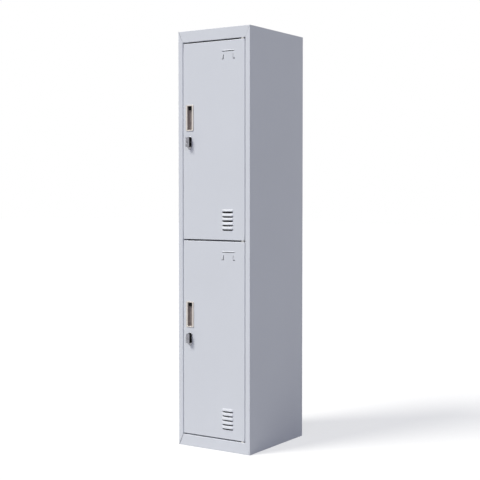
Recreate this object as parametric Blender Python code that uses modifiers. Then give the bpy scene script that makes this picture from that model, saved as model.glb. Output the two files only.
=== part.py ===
"""Two-tier steel school locker: folded sheet carcass, two pressed doors, turn-knob cam locks.

Metres, +Z up, front towards -Y, origin on the floor under the middle of the whole box.
"""
import math

import bmesh
import bpy
from mathutils import Matrix, Vector

# Overall sizes of the carcass
WIDTH = 0.380
DEPTH = 0.450
HEIGHT = 1.850

# Sheet metal and clearances
SHEET = 0.0008
FOLD_RADIUS = 0.0015
FOLD_SEGMENTS = 2
CLEARANCE = 0.0003
RELIEF = 0.003
FLANGE = 0.020

# Front frame
POST_WIDTH = 0.0235
RAIL_HEIGHT = 0.050
RAIL_RETURN = 0.024
JAMB_DEPTH = 0.022
STOP_LIP = 0.012
MITRE_GAP = 0.0006

# Doors
DOOR_SIDE_GAP = 0.003
DOOR_END_GAP = 0.004
DOOR_MIDDLE_GAP = 0.005
DOOR_INSET = 0.0005
DOOR_DEPTH = 0.018
DOOR_LIP = 0.010
DOOR_LIP_MITRE = 0.012

# Louvres pressed near the foot of each door
LOUVRE_COUNT = 5
LOUVRE_PITCH = 0.019
LOUVRE_WIDTH = 0.057
LOUVRE_HOOD = 0.0125
LOUVRE_SLOT = 0.0055
LOUVRE_PROUD = 0.0048
LOUVRE_ROUND = 0.0035
LOUVRE_FROM_HINGE_EDGE = 0.089
LOUVRE_CENTRE_HEIGHT = 0.088

# Card holder pressed near the head of each door
CARD_WIDTH = 0.066
CARD_BAR = 0.004
CARD_PROUD = 0.0015
CARD_LUG = 0.014
CARD_DROP = 0.0433
CARD_LUG_DROP = 0.076
CARD_FROM_HINGE_EDGE = 0.0855

# Recessed pull handle
LATCH_INSET = 0.036
HANDLE_HEIGHT = 0.538
BEZEL_SIDE_RIM = 0.00975
BEZEL_END_RIM = 0.0065
BEZEL_CORNER = 0.005
BEZEL_PROUD = 0.003
PULL_WIDTH = 0.0215
PULL_HEIGHT = 0.102
PULL_CORNER = 0.003
CUP_WALL = 0.0012
CUP_MARGIN = 0.001
CUP_DEPTH = 0.0145

# Lock
LOCK_DROP = 0.1065
LOCK_PROUD = 0.020
LOCK_PLATE_WIDTH = 0.024
LOCK_PLATE_HEIGHT = 0.057
LOCK_PLATE_DROP = 0.0035
LOCK_PLATE_THICKNESS = 0.0025
KNOB_WIDTH = 0.0186
KNOB_HEIGHT = 0.042
KNOB_CORNER = 0.0025
LOCK_FACE_THICKNESS = 0.0012
BARREL_RADIUS = 0.008
BARREL_HEAD_RADIUS = 0.0088
BARREL_HEAD_THICKNESS = 0.0012
SPINDLE_RADIUS = 0.004
SPINDLE_SQUARE = 0.0054
NUT_RADIUS = 0.0125
NUT_THICKNESS = 0.004
PLUG_RADIUS = 0.005
PLUG_LENGTH = 0.010
PLUG_SINK = 0.0004
KEYWAY_WIDTH = 0.0016
KEYWAY_HEIGHT = 0.006
KEYWAY_DEPTH = 0.003
CAM_REACH = 0.034
CAM_WIDTH = 0.016
CAM_THICKNESS = 0.002
CAM_KEEPER_GAP = 0.0005
CAM_SCREW_RADIUS = 0.0055
CAM_SCREW_HEAD = 0.0025
CAM_SCREW_SHANK = 0.0016
CAM_SCREW_LENGTH = 0.006

# Hinges
PIVOT_INSET = 0.014
PIN_RADIUS = 0.003
PIN_REACH = 0.014
WASHER_RIM = 0.004
HINGE_PLATE_THICKNESS = 0.0012
HINGE_TAIL_WIDTH = 0.036
HINGE_TAIL_LENGTH = 0.045
RIVET_RADIUS = 0.002
RIVET_HEAD_RADIUS = 0.004
RIVET_HEAD = 0.0012
RIVET_LENGTH = 0.004

# Sprung hinge bolt, measured inwards from the end of the door
BOLT_PROUD = 0.009
BOLT_COLLAR_STEP = 0.002
BOLT_COLLAR_AT = 0.004
BOLT_COLLAR = 0.002
BOLT_BRACKET_AT = 0.028
BOLT_LENGTH_INSIDE = 0.044
BOLT_KNOB = 0.008
BRACKET_SHEET = 0.0012
BRACKET_LEG = 0.014
BRACKET_SHELF = 0.020
BRACKET_WIDTH = 0.014
SPRING_PLAY = 0.0007
SPRING_WIRE = 0.0005
SPRING_TURNS = 5
SPRING_POINTS_PER_TURN = 10

# Door stiffener, a hat section
HAT_CROWN = 0.030
HAT_DEPTH = 0.012
HAT_FLANGE = 0.010
HAT_END_MARGIN = 0.060

# Inside
SHELF_SETBACK = 0.030
SHELF_FRONT = 0.025
SHELF_LIP = 0.012
COAT_RAIL_RADIUS = 0.008
COAT_RAIL_DROP = 0.070
SOCKET_RADIUS = 0.0115
SOCKET_DEPTH = 0.014
SOCKET_BASE = 0.003
BUFFER_RADIUS = 0.0045
BUFFER_FROM_DOOR_END = 0.120

# Facets of round pieces
ROUND_STEPS = 20
CORNER_STEPS = 4

# Places that follow from the sizes above
FRONT = (LOCK_PROUD - DOOR_INSET - DEPTH) / 2
BACK = FRONT + DEPTH
BACK_PLATE_FRONT = BACK - SHEET
PANEL_BACK = BACK_PLATE_FRONT - CLEARANCE
INNER_HALF_WIDTH = WIDTH / 2 - SHEET - CLEARANCE
OPENING_HALF_WIDTH = WIDTH / 2 - POST_WIDTH
RAIL_HALF_WIDTH = OPENING_HALF_WIDTH - MITRE_GAP
DOOR_WIDTH = 2 * (OPENING_HALF_WIDTH - DOOR_SIDE_GAP)
DOOR_HEIGHT = (HEIGHT - 2 * RAIL_HEIGHT - 2 * DOOR_END_GAP - DOOR_MIDDLE_GAP) / 2
LOWER_DOOR_BOTTOM = RAIL_HEIGHT + DOOR_END_GAP
UPPER_DOOR_BOTTOM = LOWER_DOOR_BOTTOM + DOOR_HEIGHT + DOOR_MIDDLE_GAP
PIVOT_X = DOOR_WIDTH / 2 - PIVOT_INSET
PIVOT_Y = FRONT + DOOR_INSET + DOOR_DEPTH / 2
HOLE_RADIUS = PIN_RADIUS + CLEARANCE
WASHER_RADIUS = PIN_RADIUS + WASHER_RIM
HINGE_TONGUE = 2 * WASHER_RADIUS
BOLT_COLLAR_RADIUS = PIN_RADIUS + BOLT_COLLAR_STEP
SPRING_RADIUS = PIN_RADIUS + SPRING_PLAY + SPRING_WIRE
BEZEL_WIDTH = PULL_WIDTH + 2 * BEZEL_SIDE_RIM
BEZEL_HEIGHT = PULL_HEIGHT + 2 * BEZEL_END_RIM
MIDDLE = UPPER_DOOR_BOTTOM - DOOR_MIDDLE_GAP / 2
SHELF_TOP = MIDDLE - HINGE_PLATE_THICKNESS / 2 - CLEARANCE
SHELF_FRONT_Y = FRONT + SHELF_SETBACK

# The same places seen from a door's hinge axis, at the foot of the door
FACE_Y = -DOOR_DEPTH / 2
HINGE_EDGE = PIVOT_INSET
LATCH_EDGE = PIVOT_INSET - DOOR_WIDTH
LATCH_X = LATCH_EDGE + LATCH_INSET
LOCK_HEIGHT = HANDLE_HEIGHT - LOCK_DROP
CAM_FRONT_Y = FRONT + JAMB_DEPTH + SHEET + CAM_KEEPER_GAP - PIVOT_Y
BARREL_END = CAM_FRONT_Y - FACE_Y - 2 * CLEARANCE
KNOB_BACK = -(LOCK_PLATE_THICKNESS + BARREL_HEAD_THICKNESS + 3 * CLEARANCE)
KNOB_FRONT = -(LOCK_PROUD - LOCK_FACE_THICKNESS - CLEARANCE)

X_AXIS = Vector((1, 0, 0))
Y_AXIS = Vector((0, 1, 0))
Z_AXIS = Vector((0, 0, 1))
SNAP = 1e-6
ALONG_Y = (math.radians(-90), 0, 0)
UPRIGHT = (math.radians(90), 0, 0)


def clear_scene():
    for item in list(bpy.data.objects):
        bpy.data.objects.remove(item, do_unlink=True)


def new_collection(name):
    group = bpy.data.collections.new(name)
    bpy.context.scene.collection.children.link(group)
    return group


def linear(channel):
    """One 8-bit screen channel as a linear value."""
    value = channel / 255
    return value / 12.92 if value <= 0.04045 else ((value + 0.055) / 1.055) ** 2.4


def new_finish(name, colour, roughness, metallic):
    finish = bpy.data.materials.new(name)
    finish.use_nodes = True
    shader = finish.node_tree.nodes["Principled BSDF"]
    shader.inputs["Base Color"].default_value = [linear(channel) for channel in colour] + [1]
    shader.inputs["Roughness"].default_value = roughness
    shader.inputs["Metallic"].default_value = metallic
    return finish


clear_scene()
PARTS = new_collection("school_locker")
CUTTERS = new_collection("cutters")
GREY_PAINT = new_finish("grey_powder_coat", (205, 208, 216), 0.45, 0.0)
ZINC_STEEL = new_finish("zinc_plated_steel", (176, 178, 180), 0.35, 1.0)
BRIGHT_CHROME = new_finish("bright_chrome", (190, 190, 196), 0.15, 1.0)
SATIN_NICKEL = new_finish("satin_nickel", (222, 214, 206), 0.30, 0.6)
TAUPE_PLASTIC = new_finish("taupe_plastic", (104, 98, 95), 0.55, 0.0)
BLACK_PLASTIC = new_finish("black_plastic", (18, 18, 20), 0.40, 0.0)
WHITE_NYLON = new_finish("white_nylon", (232, 230, 224), 0.50, 0.0)
BLACK_RUBBER = new_finish("black_rubber", (30, 30, 32), 0.80, 0.0)


# Basic objects

def add_object(name, data, finish, parent=None, location=(0, 0, 0), rotation=(0, 0, 0)):
    part = bpy.data.objects.new(name, data)
    data.materials.append(finish)
    part.parent = parent
    part.location = location
    part.rotation_euler = rotation
    PARTS.objects.link(part)
    return part


def add_axis(name, location, parent=None):
    """An empty on a joint's axis; the pieces that move there hang from it."""
    axis = bpy.data.objects.new(name, None)
    axis.empty_display_size = RAIL_HEIGHT
    axis.parent = parent
    axis.location = location
    PARTS.objects.link(axis)
    return axis


def mesh_from(bm, name):
    mesh = bpy.data.meshes.new(name)
    bm.to_mesh(mesh)
    bm.free()
    return mesh


def add_tool(part, bm, operation, suffix):
    """Join or cut a piece with a hidden tool body that shares the piece's place."""
    tool = bpy.data.objects.new(part.name + suffix, mesh_from(bm, part.name + suffix))
    tool.parent = part.parent
    tool.location = part.location
    tool.rotation_euler = part.rotation_euler
    tool.hide_render = True
    tool.display_type = "WIRE"
    CUTTERS.objects.link(tool)
    boolean = part.modifiers.new(operation.lower(), "BOOLEAN")
    boolean.object = tool
    boolean.operation = operation
    boolean.solver = "EXACT"
    return tool


def cut(part, bm):
    return add_tool(part, bm, "DIFFERENCE", "_cutter")


def join(part, bm):
    return add_tool(part, bm, "UNION", "_boss")


def add_block(bm, low, high, round_edges=None, radius=0.0):
    """A box between two corners; edges for which round_edges(direction, middle) is true are rounded."""
    low = Vector(low)
    high = Vector(high)
    size = high - low
    shape = Matrix.Translation((low + high) / 2) @ Matrix.Diagonal((*size, 1))
    verts = bmesh.ops.create_cube(bm, size=1, matrix=shape)["verts"]
    if round_edges is None:
        return
    middle = (low + high) / 2
    chosen = []
    for edge in {edge for vert in verts for edge in vert.link_edges}:
        direction = (edge.verts[1].co - edge.verts[0].co).normalized()
        centre = (edge.verts[0].co + edge.verts[1].co) / 2 - middle
        if round_edges(direction, centre):
            chosen.append(edge)
    bmesh.ops.bevel(bm, geom=chosen, offset=radius, offset_type="OFFSET", segments=CORNER_STEPS,
                    profile=0.5, affect="EDGES", material=-1)


def add_rod(bm, centre, axis, radius, length, sides=ROUND_STEPS):
    """A solid round bar (or a prism) centred on a point."""
    turn = Z_AXIS.rotation_difference(Vector(axis)).to_matrix().to_4x4()
    bmesh.ops.create_cone(bm, cap_ends=True, segments=sides, radius1=radius, radius2=radius,
                          depth=length, matrix=Matrix.Translation(centre) @ turn)


# Folded sheet

def blank(centre, along_u, along_v):
    """A flat sheet whose outside faces along_u x along_v."""
    normal = along_u.cross(along_v).normalized()
    plane = Matrix((along_u, along_v, normal)).transposed().to_4x4()
    plane.translation = centre
    bm = bmesh.new()
    bmesh.ops.create_grid(bm, x_segments=1, y_segments=1, size=0.5, matrix=plane)
    return bm


def score(bm, axis, *places):
    """Divide a sheet across an axis, so that only part of an edge need be folded."""
    normal = Vector((axis == 0, axis == 1, axis == 2))
    for place in places:
        everything = bm.verts[:] + bm.edges[:] + bm.faces[:]
        bmesh.ops.bisect_plane(bm, geom=everything, plane_co=normal * place, plane_no=normal, dist=SNAP)


def notch(bm, is_waste):
    """Remove the faces whose middle is_waste picks out."""
    waste = [face for face in bm.faces if is_waste(face.calc_center_median())]
    bmesh.ops.delete(bm, geom=waste, context="FACES")


def rim(bm, axis, place, span_axis=None, span=None):
    """The sheet's free edges at one coordinate, within a span of another."""
    found = []
    for edge in bm.edges:
        if not edge.is_boundary:
            continue
        if any(abs(vert.co[axis] - place) > SNAP for vert in edge.verts):
            continue
        inside = span is None or all(
            span[0] - SNAP < vert.co[span_axis] < span[1] + SNAP for vert in edge.verts)
        if inside:
            found.append(edge)
    return found


def fold(bm, edges, shift, mitre_axis=None, mitre=0.0):
    """Bend a flange from an edge; mitre draws its two ends in (or out, when negative)."""
    made = bmesh.ops.extrude_edge_only(bm, edges=edges)["geom"]
    verts = [item for item in made if isinstance(item, bmesh.types.BMVert)]
    bmesh.ops.translate(bm, verts=verts, vec=shift)
    if mitre_axis is not None:
        verts.sort(key=lambda vert: vert.co[mitre_axis])
        verts[0].co[mitre_axis] += mitre
        verts[-1].co[mitre_axis] -= mitre
    return [item for item in made if isinstance(item, bmesh.types.BMEdge) and item.is_boundary]


def add_sheet(name, bm, finish, parent=None, location=(0, 0, 0), thickness=SHEET, radius=FOLD_RADIUS):
    """Round the folds of an open sheet and give it its thickness on the inside."""
    part = add_object(name, mesh_from(bm, name), finish, parent, location)
    bend = part.modifiers.new("fold_radius", "BEVEL")
    bend.width = radius
    bend.segments = FOLD_SEGMENTS
    bend.limit_method = "ANGLE"
    wall = part.modifiers.new("sheet", "SOLIDIFY")
    wall.thickness = thickness
    wall.offset = -1
    wall.use_even_offset = True
    return part


# Turned and flat pieces

def add_turned(name, profile, finish, parent=None, location=(0, 0, 0), rotation=(0, 0, 0), hollow=False):
    """A turned piece about its own Z; the profile runs down the outer side."""
    mesh = bpy.data.meshes.new(name)
    points = [(radius, 0, height) for radius, height in profile]
    links = [(index, index + 1) for index in range(len(points) - 1)]
    if hollow:
        links.append((len(points) - 1, 0))
    mesh.from_pydata(points, links, [])
    part = add_object(name, mesh, finish, parent, location, rotation)
    spin = part.modifiers.new("turn", "SCREW")
    spin.steps = ROUND_STEPS
    spin.render_steps = ROUND_STEPS
    spin.use_merge_vertices = True
    spin.merge_threshold = SNAP
    return part


def ring_profile(outer, inner, bottom, top):
    return [(outer, top), (outer, bottom), (inner, bottom), (inner, top)]


def rounded_outline(width, height, corner, centre=(0, 0)):
    """A rectangle with arcs at its corners, anticlockwise."""
    points = []
    for quarter in range(4):
        side_x = 1 if quarter in (0, 3) else -1
        side_y = 1 if quarter in (0, 1) else -1
        middle_x = centre[0] + side_x * (width / 2 - corner)
        middle_y = centre[1] + side_y * (height / 2 - corner)
        for step in range(CORNER_STEPS + 1):
            angle = math.radians(90) * (quarter + step / CORNER_STEPS)
            points.append((middle_x + corner * math.cos(angle), middle_y + corner * math.sin(angle)))
    return points


def round_outline(radius, centre=(0, 0)):
    angles = [2 * math.pi * step / ROUND_STEPS for step in range(ROUND_STEPS)]
    return [(centre[0] + radius * math.cos(a), centre[1] + radius * math.sin(a)) for a in angles]


def add_flat(name, outlines, thickness, finish, parent=None, location=(0, 0, 0), rotation=(0, 0, 0)):
    """A flat piece cut to an outline; further outlines are holes in it."""
    curve = bpy.data.curves.new(name, "CURVE")
    curve.dimensions = "2D"
    curve.fill_mode = "BOTH"
    curve.extrude = thickness / 2
    for outline in outlines:
        spline = curve.splines.new("POLY")
        spline.points.add(len(outline) - 1)
        for point, (x, y) in zip(spline.points, outline):
            point.co = (x, y, 0, 1)
        spline.use_cyclic_u = True
    return add_object(name, curve, finish, parent, location, rotation)


def add_wire(name, points, radius, finish, parent=None, resolution=2):
    curve = bpy.data.curves.new(name, "CURVE")
    curve.dimensions = "3D"
    curve.bevel_depth = radius
    curve.bevel_resolution = resolution
    curve.use_fill_caps = True
    spline = curve.splines.new("POLY")
    spline.points.add(len(points) - 1)
    for point, place in zip(spline.points, points):
        point.co = (*place, 1)
    return add_object(name, curve, finish, parent)


# Carcass

def make_side_panel(name, side):
    """Side, front post with mitred ends, jamb return, rear and floor flanges; the latch side has a stop lip."""
    middle_y = (FRONT + PANEL_BACK) / 2
    centre = Vector((side * WIDTH / 2, middle_y, HEIGHT / 2))
    bm = blank(centre, Y_AXIS * side * (PANEL_BACK - FRONT), Z_AXIS * HEIGHT)
    rear_span = (RAIL_HEIGHT + RELIEF, HEIGHT - RAIL_HEIGHT - RELIEF)
    foot_span = (FRONT + RAIL_RETURN + RELIEF, PANEL_BACK - RAIL_RETURN - RELIEF)
    score(bm, 2, *rear_span)
    score(bm, 1, *foot_span)
    fold(bm, rim(bm, 1, PANEL_BACK, 2, rear_span), -side * FLANGE * X_AXIS)
    fold(bm, rim(bm, 2, 0, 1, foot_span), -side * FLANGE * X_AXIS)
    post = fold(bm, rim(bm, 1, FRONT), -side * POST_WIDTH * X_AXIS, 2, RAIL_HEIGHT + CLEARANCE)
    jamb = fold(bm, post, JAMB_DEPTH * Y_AXIS)
    if side < 0:
        fold(bm, jamb, STOP_LIP * X_AXIS)
    return add_sheet(name, bm, GREY_PAINT)


def make_top_panel():
    """Roof with the mitred top rail, its return for the hinge bolt, and fixing flanges."""
    centre = Vector((0, (FRONT + PANEL_BACK) / 2, HEIGHT))
    bm = blank(centre, X_AXIS * 2 * INNER_HALF_WIDTH, Y_AXIS * (PANEL_BACK - FRONT))
    side_span = (FRONT + RAIL_RETURN + RELIEF, PANEL_BACK - RELIEF)
    score(bm, 1, *side_span)
    for side in (-1, 1):
        fold(bm, rim(bm, 0, side * INNER_HALF_WIDTH, 1, side_span), -FLANGE * Z_AXIS)
    fold(bm, rim(bm, 1, PANEL_BACK), -FLANGE * Z_AXIS)
    rail = fold(bm, rim(bm, 1, FRONT), -RAIL_HEIGHT * Z_AXIS, 0, INNER_HALF_WIDTH - RAIL_HALF_WIDTH)
    fold(bm, rail, RAIL_RETURN * Y_AXIS)
    part = add_sheet("top_panel", bm, GREY_PAINT)
    hole = bmesh.new()
    add_rod(hole, (PIVOT_X, PIVOT_Y, HEIGHT - RAIL_HEIGHT), Z_AXIS, HOLE_RADIUS, FLANGE)
    cut(part, hole)


def make_bottom_panel():
    """Floor that fills both posts, with the mitred kick rail and rear upright turned in at the foot."""
    centre = Vector((0, (FRONT + PANEL_BACK) / 2, RAIL_HEIGHT))
    bm = blank(centre, X_AXIS * 2 * INNER_HALF_WIDTH, Y_AXIS * (PANEL_BACK - FRONT))
    side_span = (FRONT + JAMB_DEPTH + RELIEF, PANEL_BACK - RELIEF)
    corner_front = FRONT + FOLD_RADIUS + SHEET
    score(bm, 1, corner_front, *side_span)
    score(bm, 0, -RAIL_HALF_WIDTH, RAIL_HALF_WIDTH)
    notch(bm, lambda middle: abs(middle.x) > RAIL_HALF_WIDTH and middle.y < corner_front)
    for side in (-1, 1):
        fold(bm, rim(bm, 0, side * INNER_HALF_WIDTH, 1, side_span), -FLANGE * Z_AXIS)
    rear = fold(bm, rim(bm, 1, PANEL_BACK), -RAIL_HEIGHT * Z_AXIS)
    fold(bm, rear, -RAIL_RETURN * Y_AXIS)
    rail = fold(bm, rim(bm, 1, FRONT), -RAIL_HEIGHT * Z_AXIS, 0, RAIL_HALF_WIDTH - INNER_HALF_WIDTH)
    fold(bm, rail, RAIL_RETURN * Y_AXIS)
    part = add_sheet("bottom_panel", bm, GREY_PAINT)
    hole = bmesh.new()
    add_rod(hole, (PIVOT_X, PIVOT_Y, RAIL_HEIGHT), Z_AXIS, HOLE_RADIUS, FLANGE)
    cut(part, hole)


def make_back_panel():
    bm = bmesh.new()
    edge = WIDTH / 2 - CLEARANCE
    add_block(bm, (-edge, BACK_PLATE_FRONT, 0), (edge, BACK, HEIGHT))
    add_object("back_panel", mesh_from(bm, "back_panel"), GREY_PAINT)


def make_middle_shelf():
    """Floor of the upper compartment; its front is turned down and back, its sides carry it."""
    rear = PANEL_BACK - SHEET - CLEARANCE
    centre = Vector((0, (SHELF_FRONT_Y + rear) / 2, SHELF_TOP))
    bm = blank(centre, X_AXIS * 2 * INNER_HALF_WIDTH, Y_AXIS * (rear - SHELF_FRONT_Y))
    side_span = (SHELF_FRONT_Y + SHELF_LIP + RELIEF, rear - RELIEF)
    score(bm, 1, *side_span)
    for side in (-1, 1):
        fold(bm, rim(bm, 0, side * INNER_HALF_WIDTH, 1, side_span), -FLANGE * Z_AXIS)
    fold(bm, rim(bm, 1, rear), -FLANGE * Z_AXIS)
    front = fold(bm, rim(bm, 1, SHELF_FRONT_Y), -SHELF_FRONT * Z_AXIS)
    fold(bm, front, SHELF_LIP * Y_AXIS)
    part = add_sheet("middle_shelf", bm, GREY_PAINT)
    holes = bmesh.new()
    for place in rivet_places():
        add_rod(holes, (*place, SHELF_TOP), Z_AXIS, RIVET_RADIUS + CLEARANCE, FLANGE)
    cut(part, holes)


# Middle hinge and washers

def rivet_places():
    """Two rivets across the tail of the hinge plate."""
    y = SHELF_FRONT_Y + HINGE_TAIL_LENGTH / 2
    return [(PIVOT_X + side * HINGE_TAIL_WIDTH / 4, y) for side in (-1, 1)]


def make_middle_hinge():
    """A plate riveted on the shelf reaches into the gap between the doors and holds a double-ended pin."""
    tail_front = SHELF_FRONT_Y + 2 * FOLD_RADIUS - PIVOT_Y
    half_tongue = HINGE_TONGUE / 2
    half_tail = HINGE_TAIL_WIDTH / 2
    nose = []
    for step in range(2 * CORNER_STEPS + 1):
        angle = math.pi * (1 + step / (2 * CORNER_STEPS))
        nose.append((half_tongue * math.cos(angle), half_tongue * math.sin(angle)))
    tail = [(half_tongue, tail_front), (half_tail, tail_front), (half_tail, tail_front + HINGE_TAIL_LENGTH),
            (-half_tail, tail_front + HINGE_TAIL_LENGTH), (-half_tail, tail_front), (-half_tongue, tail_front)]
    holes = [round_outline(HOLE_RADIUS)]
    for x, y in rivet_places():
        holes.append(round_outline(RIVET_RADIUS + CLEARANCE, (x - PIVOT_X, y - PIVOT_Y)))
    add_flat("middle_hinge_plate", [nose + tail] + holes, HINGE_PLATE_THICKNESS, ZINC_STEEL,
             location=(PIVOT_X, PIVOT_Y, MIDDLE))
    chamfer = PIN_RADIUS / 3
    profile = [(0, PIN_REACH), (PIN_RADIUS - chamfer, PIN_REACH), (PIN_RADIUS, PIN_REACH - chamfer),
               (PIN_RADIUS, chamfer - PIN_REACH), (PIN_RADIUS - chamfer, -PIN_REACH), (0, -PIN_REACH)]
    add_turned("middle_hinge_pin", profile, ZINC_STEEL, location=(PIVOT_X, PIVOT_Y, MIDDLE))
    head = HINGE_PLATE_THICKNESS / 2 + CLEARANCE
    rivet = [(0, head + RIVET_HEAD), (RIVET_HEAD_RADIUS / 2, head + RIVET_HEAD), (RIVET_HEAD_RADIUS, head),
             (RIVET_RADIUS, head), (RIVET_RADIUS, head - RIVET_LENGTH), (0, head - RIVET_LENGTH)]
    for number, place in enumerate(rivet_places(), 1):
        add_turned(f"hinge_plate_rivet_{number}", rivet, ZINC_STEEL, location=(*place, MIDDLE))


def make_washers():
    """Nylon washers fill the gaps at each end of both doors."""
    half_plate = HINGE_PLATE_THICKNESS / 2
    upper_top = UPPER_DOOR_BOTTOM + DOOR_HEIGHT
    gaps = {
        "upper_door_top_washer": (upper_top, upper_top + DOOR_END_GAP),
        "upper_door_foot_washer": (MIDDLE + half_plate, UPPER_DOOR_BOTTOM),
        "lower_door_top_washer": (LOWER_DOOR_BOTTOM + DOOR_HEIGHT, MIDDLE - half_plate),
        "lower_door_foot_washer": (RAIL_HEIGHT, LOWER_DOOR_BOTTOM),
    }
    for name, (low, high) in gaps.items():
        height = high - low - 2 * CLEARANCE
        profile = ring_profile(WASHER_RADIUS, HOLE_RADIUS, 0, height)
        add_turned(name, profile, WHITE_NYLON, location=(PIVOT_X, PIVOT_Y, low + CLEARANCE), hollow=True)


# Inside fittings

def make_coat_rail(tier, ceiling):
    """A hanging rail between two moulded end sockets."""
    height = ceiling - COAT_RAIL_DROP
    wall = INNER_HALF_WIDTH
    end = wall - SOCKET_BASE - CLEARANCE
    add_wire(f"{tier}_coat_rail", [(-end, 0, height), (end, 0, height)], COAT_RAIL_RADIUS, ZINC_STEEL,
             resolution=4)
    bore = COAT_RAIL_RADIUS + CLEARANCE
    profile = [(0, SOCKET_BASE), (bore, SOCKET_BASE), (bore, SOCKET_DEPTH), (SOCKET_RADIUS, SOCKET_DEPTH),
               (SOCKET_RADIUS, 0), (0, 0)]
    for label, side in (("left", -1), ("right", 1)):
        turn = (0, -side * math.radians(90), 0)
        add_turned(f"{tier}_rail_socket_{label}", profile, BLACK_PLASTIC,
                   location=(side * wall, 0, height), rotation=turn)


def make_buffers(tier, door_bottom):
    """Rubber buffers on the stop lip meet the back of the closed door."""
    low = FRONT + DOOR_INSET + DOOR_DEPTH + CLEARANCE
    high = FRONT + JAMB_DEPTH - CLEARANCE
    profile = [(0, high - low), (BUFFER_RADIUS, high - low), (BUFFER_RADIUS, 0), (0, 0)]
    x = -OPENING_HALF_WIDTH + STOP_LIP / 2
    heights = {"foot": door_bottom + BUFFER_FROM_DOOR_END,
               "top": door_bottom + DOOR_HEIGHT - BUFFER_FROM_DOOR_END}
    for label, height in heights.items():
        add_turned(f"{tier}_buffer_{label}", profile, BLACK_RUBBER, location=(x, low, height), rotation=ALONG_Y)


# Doors, each built about its hinge axis

def make_door_panel(tier, hinge):
    """A pressed tray: skin, edge flanges, rear lips, louvres, card holder and the cut-outs for its fittings."""
    centre = Vector(((HINGE_EDGE + LATCH_EDGE) / 2, FACE_Y, DOOR_HEIGHT / 2))
    bm = blank(centre, X_AXIS * DOOR_WIDTH, Z_AXIS * DOOR_HEIGHT)
    end_span = (LATCH_EDGE + RELIEF, HINGE_EDGE - RELIEF)
    score(bm, 0, *end_span)
    for place in (0, DOOR_HEIGHT):
        fold(bm, rim(bm, 2, place, 0, end_span), DOOR_DEPTH * Y_AXIS)
    for place, inward in ((LATCH_EDGE, 1), (HINGE_EDGE, -1)):
        flange = fold(bm, rim(bm, 0, place, 1, (FACE_Y, FACE_Y)), DOOR_DEPTH * Y_AXIS)
        fold(bm, flange, inward * DOOR_LIP * X_AXIS, 2, DOOR_LIP_MITRE)
    part = add_sheet(f"{tier}_door_panel", bm, GREY_PAINT, hinge)

    pressings = bmesh.new()
    cuts = bmesh.new()
    for number in range(LOUVRE_COUNT):
        add_louvre(pressings, cuts, number)
    add_card_holder(pressings)
    join(part, pressings)

    pull_width = PULL_WIDTH + 2 * (CUP_MARGIN + CUP_WALL + CLEARANCE)
    pull_height = PULL_HEIGHT + 2 * (CUP_MARGIN + CUP_WALL + CLEARANCE)
    add_block(cuts, (LATCH_X - pull_width / 2, FACE_Y - SHEET, HANDLE_HEIGHT - pull_height / 2),
              (LATCH_X + pull_width / 2, FACE_Y + 2 * SHEET, HANDLE_HEIGHT + pull_height / 2))
    add_rod(cuts, (LATCH_X, FACE_Y, LOCK_HEIGHT), Y_AXIS, BARREL_RADIUS + CLEARANCE, 4 * SHEET)
    for height in (0, DOOR_HEIGHT):
        add_rod(cuts, (0, 0, height), Z_AXIS, HOLE_RADIUS, 4 * SHEET)
    cut(part, cuts)


def hood_edges(direction, offset):
    """The outer edges of a louvre's hood: along its front top and round its ends."""
    faces_out = offset.y < -SNAP
    top = offset.z > SNAP
    along_front = faces_out and (top or abs(offset.x) > SNAP)
    return along_front or (top and abs(offset.x) > SNAP)


def add_louvre(pressings, cuts, number):
    """One louvre: a hood pressed outwards above a slot, open below."""
    middle = LOUVRE_CENTRE_HEIGHT + (number - (LOUVRE_COUNT - 1) / 2) * LOUVRE_PITCH
    lip = middle - (LOUVRE_HOOD - LOUVRE_SLOT) / 2
    x = HINGE_EDGE - LOUVRE_FROM_HINGE_EDGE
    half = LOUVRE_WIDTH / 2
    add_block(pressings, (x - half, FACE_Y - LOUVRE_PROUD, lip),
              (x + half, FACE_Y + SHEET / 2, lip + LOUVRE_HOOD), hood_edges, LOUVRE_ROUND)
    half -= SHEET
    add_block(cuts, (x - half, FACE_Y - LOUVRE_PROUD + SHEET, lip - LOUVRE_SLOT),
              (x + half, FACE_Y + 2 * SHEET, lip + LOUVRE_HOOD - SHEET), hood_edges, LOUVRE_ROUND - SHEET)


def add_card_holder(pressings):
    """A pressed bar above and two corner lugs below hold a name card."""
    x = HINGE_EDGE - CARD_FROM_HINGE_EDGE
    top = DOOR_HEIGHT - CARD_DROP
    foot = DOOR_HEIGHT - CARD_LUG_DROP
    front = FACE_Y - CARD_PROUD
    inside = FACE_Y + SHEET / 2
    half = CARD_WIDTH / 2
    add_block(pressings, (x - half, front, top - CARD_BAR / 2), (x + half, inside, top + CARD_BAR / 2))
    for side in (-1, 1):
        outer = x + side * half
        inner = outer - side * CARD_LUG
        add_block(pressings, (min(outer, inner), front, foot - CARD_BAR / 2),
                  (max(outer, inner), inside, foot + CARD_BAR / 2))


def make_stiffener(tier, hinge):
    """A hat section welded up the middle of the door's back."""
    skin = FACE_Y + SHEET + CLEARANCE
    centre_x = (HINGE_EDGE + LATCH_EDGE) / 2
    length = DOOR_HEIGHT - 2 * HAT_END_MARGIN
    centre = Vector((centre_x, skin + HAT_DEPTH, DOOR_HEIGHT / 2))
    bm = blank(centre, -X_AXIS * HAT_CROWN, Z_AXIS * length)
    for side in (-1, 1):
        web = fold(bm, rim(bm, 0, centre_x + side * HAT_CROWN / 2), -(HAT_DEPTH - SHEET) * Y_AXIS)
        fold(bm, web, side * HAT_FLANGE * X_AXIS)
    add_sheet(f"{tier}_door_stiffener", bm, GREY_PAINT, hinge)


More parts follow.
